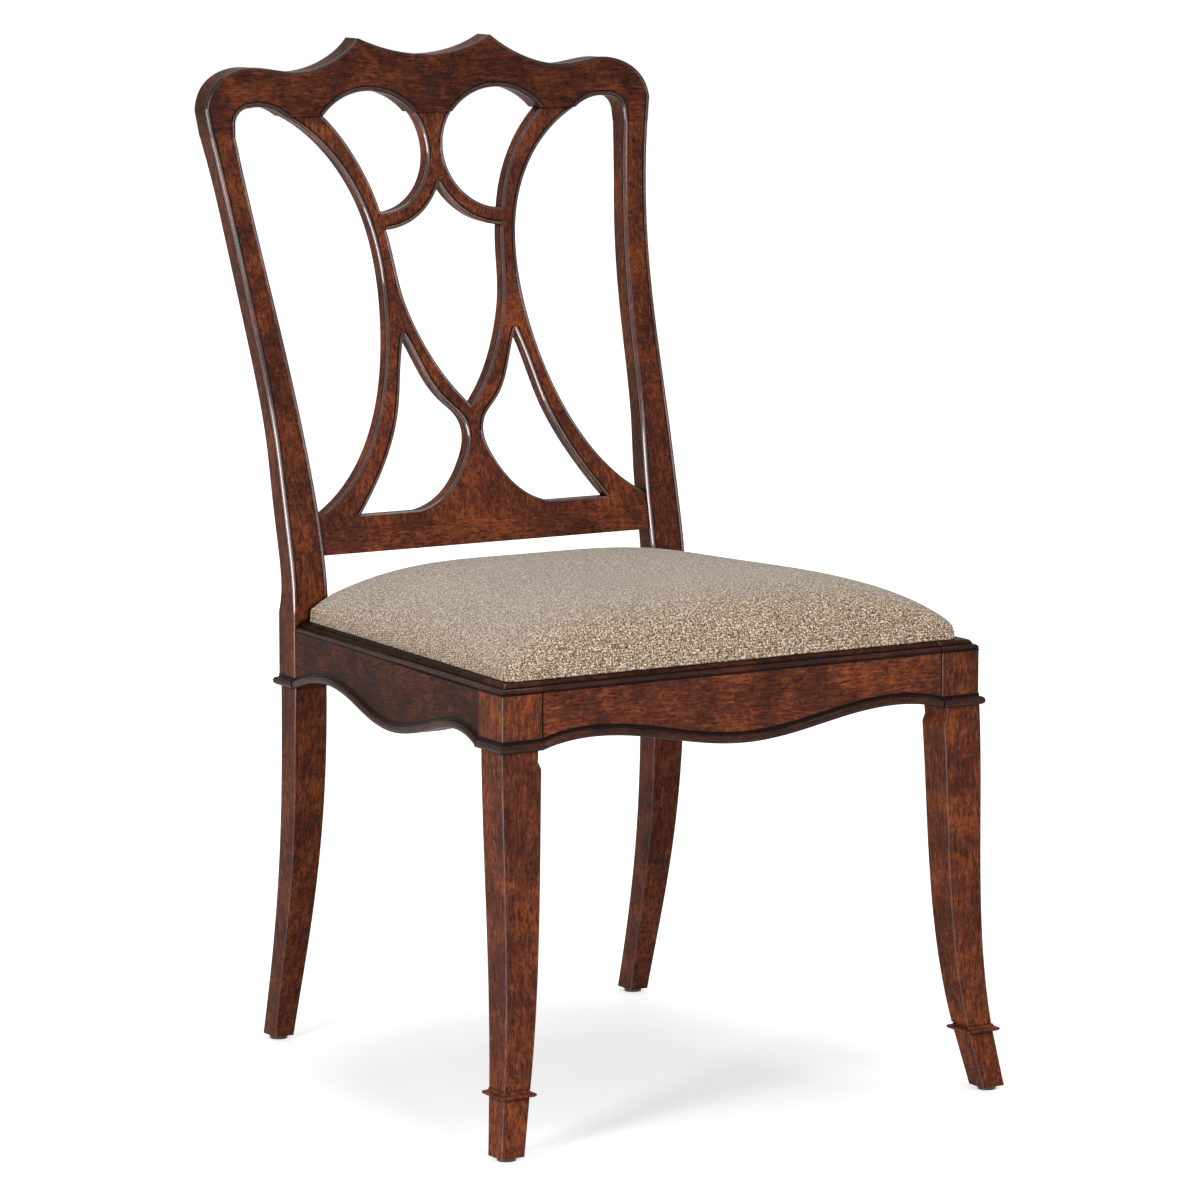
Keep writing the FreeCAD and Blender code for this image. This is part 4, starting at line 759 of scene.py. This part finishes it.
def joint_lines():
    verts, faces = [], []
    front = SETBACK - LINE_PROUD
    near, far = rail_face(BLOCK_DEPTH) + LINE_PROUD, rail_face(POST_FRONT) + LINE_PROUD
    for side in SIDES.values():
        for x0, x1, y0, y1, top in (
                (BLOCK_IN - JOINT_WIDE, BLOCK_IN + HAIR, front, JOINT_DEEP, RAIL_LEVEL),
                (near - JOINT_DEEP, near, BLOCK_DEPTH - HAIR, BLOCK_DEPTH + JOINT_WIDE, RAIL_LEVEL),
                (far - JOINT_DEEP, far, POST_FRONT - JOINT_WIDE, POST_FRONT + HAIR, REAR_LEVEL)):
            corners = [(side * x0, y0), (side * x1, y0), (side * x1, y1), (side * x0, y1)]
            rings = [[(x, y, level) for x, y in corners] for level in (JOINT_LOW, top)]
            add_skin(verts, faces, rings)
    new_piece("joint_lines", verts, faces, "polished_wood", JOINT_GLAZE_AND_PAINTED_SHADE)


joint_lines()


# Edge beads of crest, splat and stiles, along the sharp front edges of their CAD pieces
# A front face's normal has a y below the first value, and a side face's has one within the second
FRONT_FACING, SIDE_FACING = -0.8, 0.55
WELD = 1e-5


def edge_links(name, keep):
    """Front edges as links between points, the points' places, and their (side, front) normals."""
    tool = bmesh.new()
    tool.from_mesh(nodes[name].data)
    bmesh.ops.remove_doubles(tool, verts=tool.verts, dist=WELD)
    tool.normal_update()
    links = {}
    sides = {}
    for edge in tool.edges:
        if len(edge.link_faces) != 2:
            continue
        normals = [face.normal for face in edge.link_faces]
        front = [normal for normal in normals if normal.y < FRONT_FACING]
        side = [normal for normal in normals if abs(normal.y) < SIDE_FACING]
        if len(front) != 1 or len(side) != 1:
            continue
        first, second = edge.verts
        if not keep(drawn(first.co), drawn(second.co)):
            continue
        links.setdefault(first.index, []).append(second.index)
        links.setdefault(second.index, []).append(first.index)
        for vert in (first.index, second.index):
            sides.setdefault(vert, []).append((side[0].copy(), front[0].copy()))
    tool.verts.ensure_lookup_table()
    places = {index: drawn(tool.verts[index].co) for index in links}
    tool.free()
    return links, places, sides


def chained(links):
    """The links joined into chains of points, each from an open end where there is one."""
    chains = []
    unused = {tuple(sorted((a, b))) for a, found in links.items() for b in found}
    while unused:
        ends = [index for index in sorted(links)
                if sum(index in pair for pair in unused) == 1]
        start = ends[0] if ends else min(min(pair) for pair in unused)
        chain = [start]
        while True:
            here = chain[-1]
            step = next((index for index in sorted(links[here])
                         if tuple(sorted((here, index))) in unused), None)
            if step is None:
                break
            unused.discard(tuple(sorted((here, step))))
            chain.append(step)
        chains.append(chain)
    return chains


def front_edges(name, keep):
    """Runs of (point, outward side normal, front normal) along a piece's front edges."""
    links, places, sides = edge_links(name, keep)
    found = []
    for chain in chained(links):
        run = []
        for index in chain:
            side = sum((pair[0] for pair in sides[index]), Vector())
            front = sum((pair[1] for pair in sides[index]), Vector())
            run.append((places[index], side.normalized(), front.normalized()))
        found.append(run)
    return found


# A corner is sharp over this angle in degrees, between steps that aren't short
SHARP_CORNER = 38.0
SHORT = 0.01


def broken(run):
    """A run cut into pieces at its sharp corners."""
    pieces = [[run[0]]]
    for before, here, after in zip(run, run[1:], run[2:]):
        pieces[-1].append(here)
        one, two = here[0] - before[0], after[0] - here[0]
        if min(one.length, two.length) > SHORT and math.degrees(one.angle(two)) > SHARP_CORNER:
            pieces.append([here])
    pieces[-1].append(run[-1])
    return pieces


EDGE_PROUD = 0.7
# Half widths of the dark lines of painted shade beside a bead, on its front face and on its side face
LINE_HALF, SIDE_LINE_HALF = 0.6, 1.0
# A line's middle lies this share of its half width past the bead, and beads thin at their ends
LINE_INSET, BEAD_END = 0.8, 0.93
EDGE_CREASE = 22
# A round section with one flat, rubbed facet that faces half outward and half forward
FACET = math.pi / 6
ROUND_STEPS = 20
TURNS = [(math.pi / 2 + FACET) / 2 + (2 * math.pi - FACET) * step / ROUND_STEPS
         for step in range(ROUND_STEPS + 1)]


def frames(piece):
    """Each point with its side and front directions, square to the run and to each other."""
    found = []
    last = len(piece) - 1
    for index, (spot, side, front) in enumerate(piece):
        ahead = (piece[min(index + 1, last)][0] - piece[max(index - 1, 0)][0]).normalized()
        if index in (0, last) and last > 1:
            side = piece[1 if index == 0 else -2][1]
        side = (side - ahead * side.dot(ahead)).normalized()
        front = (front - ahead * front.dot(ahead) - side * side.dot(front)).normalized()
        found.append((spot, side, front))
    return found


def edge_beads(name, node, keep, radius, gloss):
    """Round beads along a piece's front edges, and the dark lines of painted shade beside them."""
    beads, lines = ([], []), ([], [])
    sink = radius - EDGE_PROUD
    reach = sink + math.sqrt(radius ** 2 - sink ** 2)
    for run in front_edges(node, keep):
        for piece in broken(run):
            if len(piece) < 3:
                continue
            tubes = [[], [], []]
            for index, (spot, side, front) in enumerate(frames(piece)):
                small = BEAD_END if index in (0, len(piece) - 1) else 1.0
                centre = spot - (side + front) * sink
                tubes[0].append([centre + (side * math.cos(turn) + front * math.sin(turn))
                                 * radius * small for turn in TURNS])
                for number, along, away, half in ((1, side, front, LINE_HALF),
                                                  (2, front, side, SIDE_LINE_HALF)):
                    centre = spot - along * (reach + half * LINE_INSET)
                    tubes[number].append([centre + along * half * math.cos(turn)
                                          + away * LINE_PROUD * math.sin(turn) for turn in TURNS])
            for rings, (verts, faces) in zip(tubes, (beads, lines, lines)):
                add_skin(verts, faces, rings)
    new_piece(f"{name}_beads", *beads, "polished_wood", gloss, EDGE_CREASE)
    new_piece(f"{name}_glaze", *lines, "polished_wood", JOINT_GLAZE_AND_PAINTED_SHADE)


# Beads run along the outlines, but not along the joints between crest, splat, posts and rail
CREST_LEVEL, SPLAT_FOOT, SPLAT_HALF = 941.0, 531.5, 192.0
JOINT_NEAR, LEVEL_NEAR = 0.4, 0.3
STILE_CLEAR, STILE_FLAT = 8.0, 0.5


def crest_keeps(first, second):
    level = all(abs(spot.z - CREST_LEVEL) < LEVEL_NEAR for spot in (first, second))
    return max(first.z, second.z) > POST_TOP + JOINT_NEAR and not level


def splat_keeps(first, second):
    low, high = sorted((first.z, second.z))
    within = low <= CREST_LEVEL - JOINT_NEAR and high >= SPLAT_FOOT + JOINT_NEAR
    return within and max(abs(first.x), abs(second.x)) < SPLAT_HALF


def stile_keeps(first, second):
    clear = min(first.z, second.z) > POST_STOP + STILE_CLEAR
    return clear and abs(first.z - second.z) > STILE_FLAT


FRAME_BEAD, SPLAT_BEAD = 2.6, 2.1
edge_beads("crest", "crest_rail", crest_keeps, FRAME_BEAD, CREST_GLOSS)
edge_beads("splat", "back_splat", splat_keeps, SPLAT_BEAD, GLOSS)
for word in SIDES:
    edge_beads(f"stile_{word}", f"back_post_{word}", stile_keeps, FRAME_BEAD, GLOSS)


# Rails and boards get softly worn edges
WORN_WIDTH, WORN_ANGLE = 0.7, 50.0
for name in RAIL_WOOD:
    worn = nodes[name].modifiers.new("worn_edges", "BEVEL")
    worn.width = WORN_WIDTH * MM
    worn.segments = 2
    worn.limit_method = "ANGLE"
    worn.angle_limit = math.radians(WORN_ANGLE)
    worn.use_clamp_overlap = True


# Stage: a white floor under a white sky, and soft studio lamps, in metres
FLOOR_HALF = 12.0
FLOOR_TONE = 0.8
# The floor's own glow grows with the distance from the chair, which paints a soft shadow under the
# chair and lets the lamps' own shadow stay
PAINTED_SHADOW_CENTRE = (0.02, -0.05, 0.0)
GLOW_REACH = 3.0
GLOW = [(0.0, 0.35), (0.085, 0.37), (0.14, 0.60), (1.0, 1.0)]
SKY_LIGHT, SKY_SEEN = 0.42, 1.0
WHITE = (1, 1, 1, 1)


def directly_seen(tree):
    """1 for rays from the camera, off gloss and through glass, and 0 for scattered light."""
    path = tree.nodes.new("ShaderNodeLightPath")
    seen = path.outputs["Is Camera Ray"]
    for ray in (path.outputs["Is Glossy Ray"], path.outputs["Is Transmission Ray"]):
        either = tree.nodes.new("ShaderNodeMath")
        either.operation = "MAXIMUM"
        tree.links.new(seen, either.inputs[0])
        tree.links.new(ray, either.inputs[1])
        seen = either.outputs[0]
    return seen


def floor_material():
    ground = Nodes("floor_white")
    ground.shader.inputs["Base Color"].default_value = (*grey(FLOOR_TONE), 1)
    ground.shader.inputs["Roughness"].default_value = 0.9
    ground.shader.inputs["Specular IOR Level"].default_value = 0.0
    ground.shader.inputs["Emission Color"].default_value = WHITE
    place = ground.add("ShaderNodeTexCoord")
    away = ground.add("ShaderNodeVectorMath", operation="DISTANCE")
    away.inputs[1].default_value = PAINTED_SHADOW_CENTRE
    ground.link(place.outputs["Object"], away.inputs[0])
    share = ground.math("DIVIDE", away.outputs["Value"], GLOW_REACH)
    # The glow is dimmest around the chair: a painted shadow under it
    glow = ground.ramp(share, [(stop, grey(level)) for stop, level in GLOW])
    ground.link(ground.math("MULTIPLY", directly_seen(ground.tree), glow),
                ground.shader.inputs["Emission Strength"])
    return ground.material


def white_floor():
    corners = [(x * FLOOR_HALF, y * FLOOR_HALF, 0) for x, y in ((-1, -1), (1, -1), (1, 1), (-1, 1))]
    mesh = bpy.data.meshes.new("floor")
    mesh.from_pydata(corners, [], [(0, 1, 2, 3)])
    floor = bpy.data.objects.new("floor", mesh)
    scene.collection.objects.link(floor)
    paint(floor, floor_material())


def studio_sky():
    world = bpy.data.worlds.new("studio")
    world.use_nodes = True
    scene.world = world
    tree = world.node_tree
    sky = tree.nodes["Background"]
    sky.inputs["Color"].default_value = WHITE
    level = tree.nodes.new("ShaderNodeMapRange")
    level.inputs["To Min"].default_value = SKY_LIGHT
    level.inputs["To Max"].default_value = SKY_SEEN
    tree.links.new(directly_seen(tree), level.inputs["Value"])
    tree.links.new(level.outputs["Result"], sky.inputs["Strength"])


def lamp(name, spot, aim, power, width, height):
    """A soft lamp at a spot in metres, turned to its aim."""
    data = bpy.data.lights.new(name, "AREA")
    data.shape = "RECTANGLE"
    data.size = width
    data.size_y = height
    data.energy = power
    obj = bpy.data.objects.new(name, data)
    obj.location = spot
    obj.rotation_euler = (Vector(spot) - Vector(aim)).to_track_quat("Z", "Y").to_euler()
    scene.collection.objects.link(obj)


white_floor()
studio_sky()
lamp("top", spot=(0.6, 0.0, 3.3), aim=(0.1, 0.0, 0.5), power=36.0, width=2.4, height=1.4)
lamp("strip", spot=(-2.92, -1.39, 0.95), aim=(0.0, 0.2, 0.8), power=86.0, width=0.70, height=1.7)
lamp("front", spot=(0.2, -3.5, 1.5), aim=(0.0, 0.0, 0.5), power=60.0, width=2.0, height=1.8)
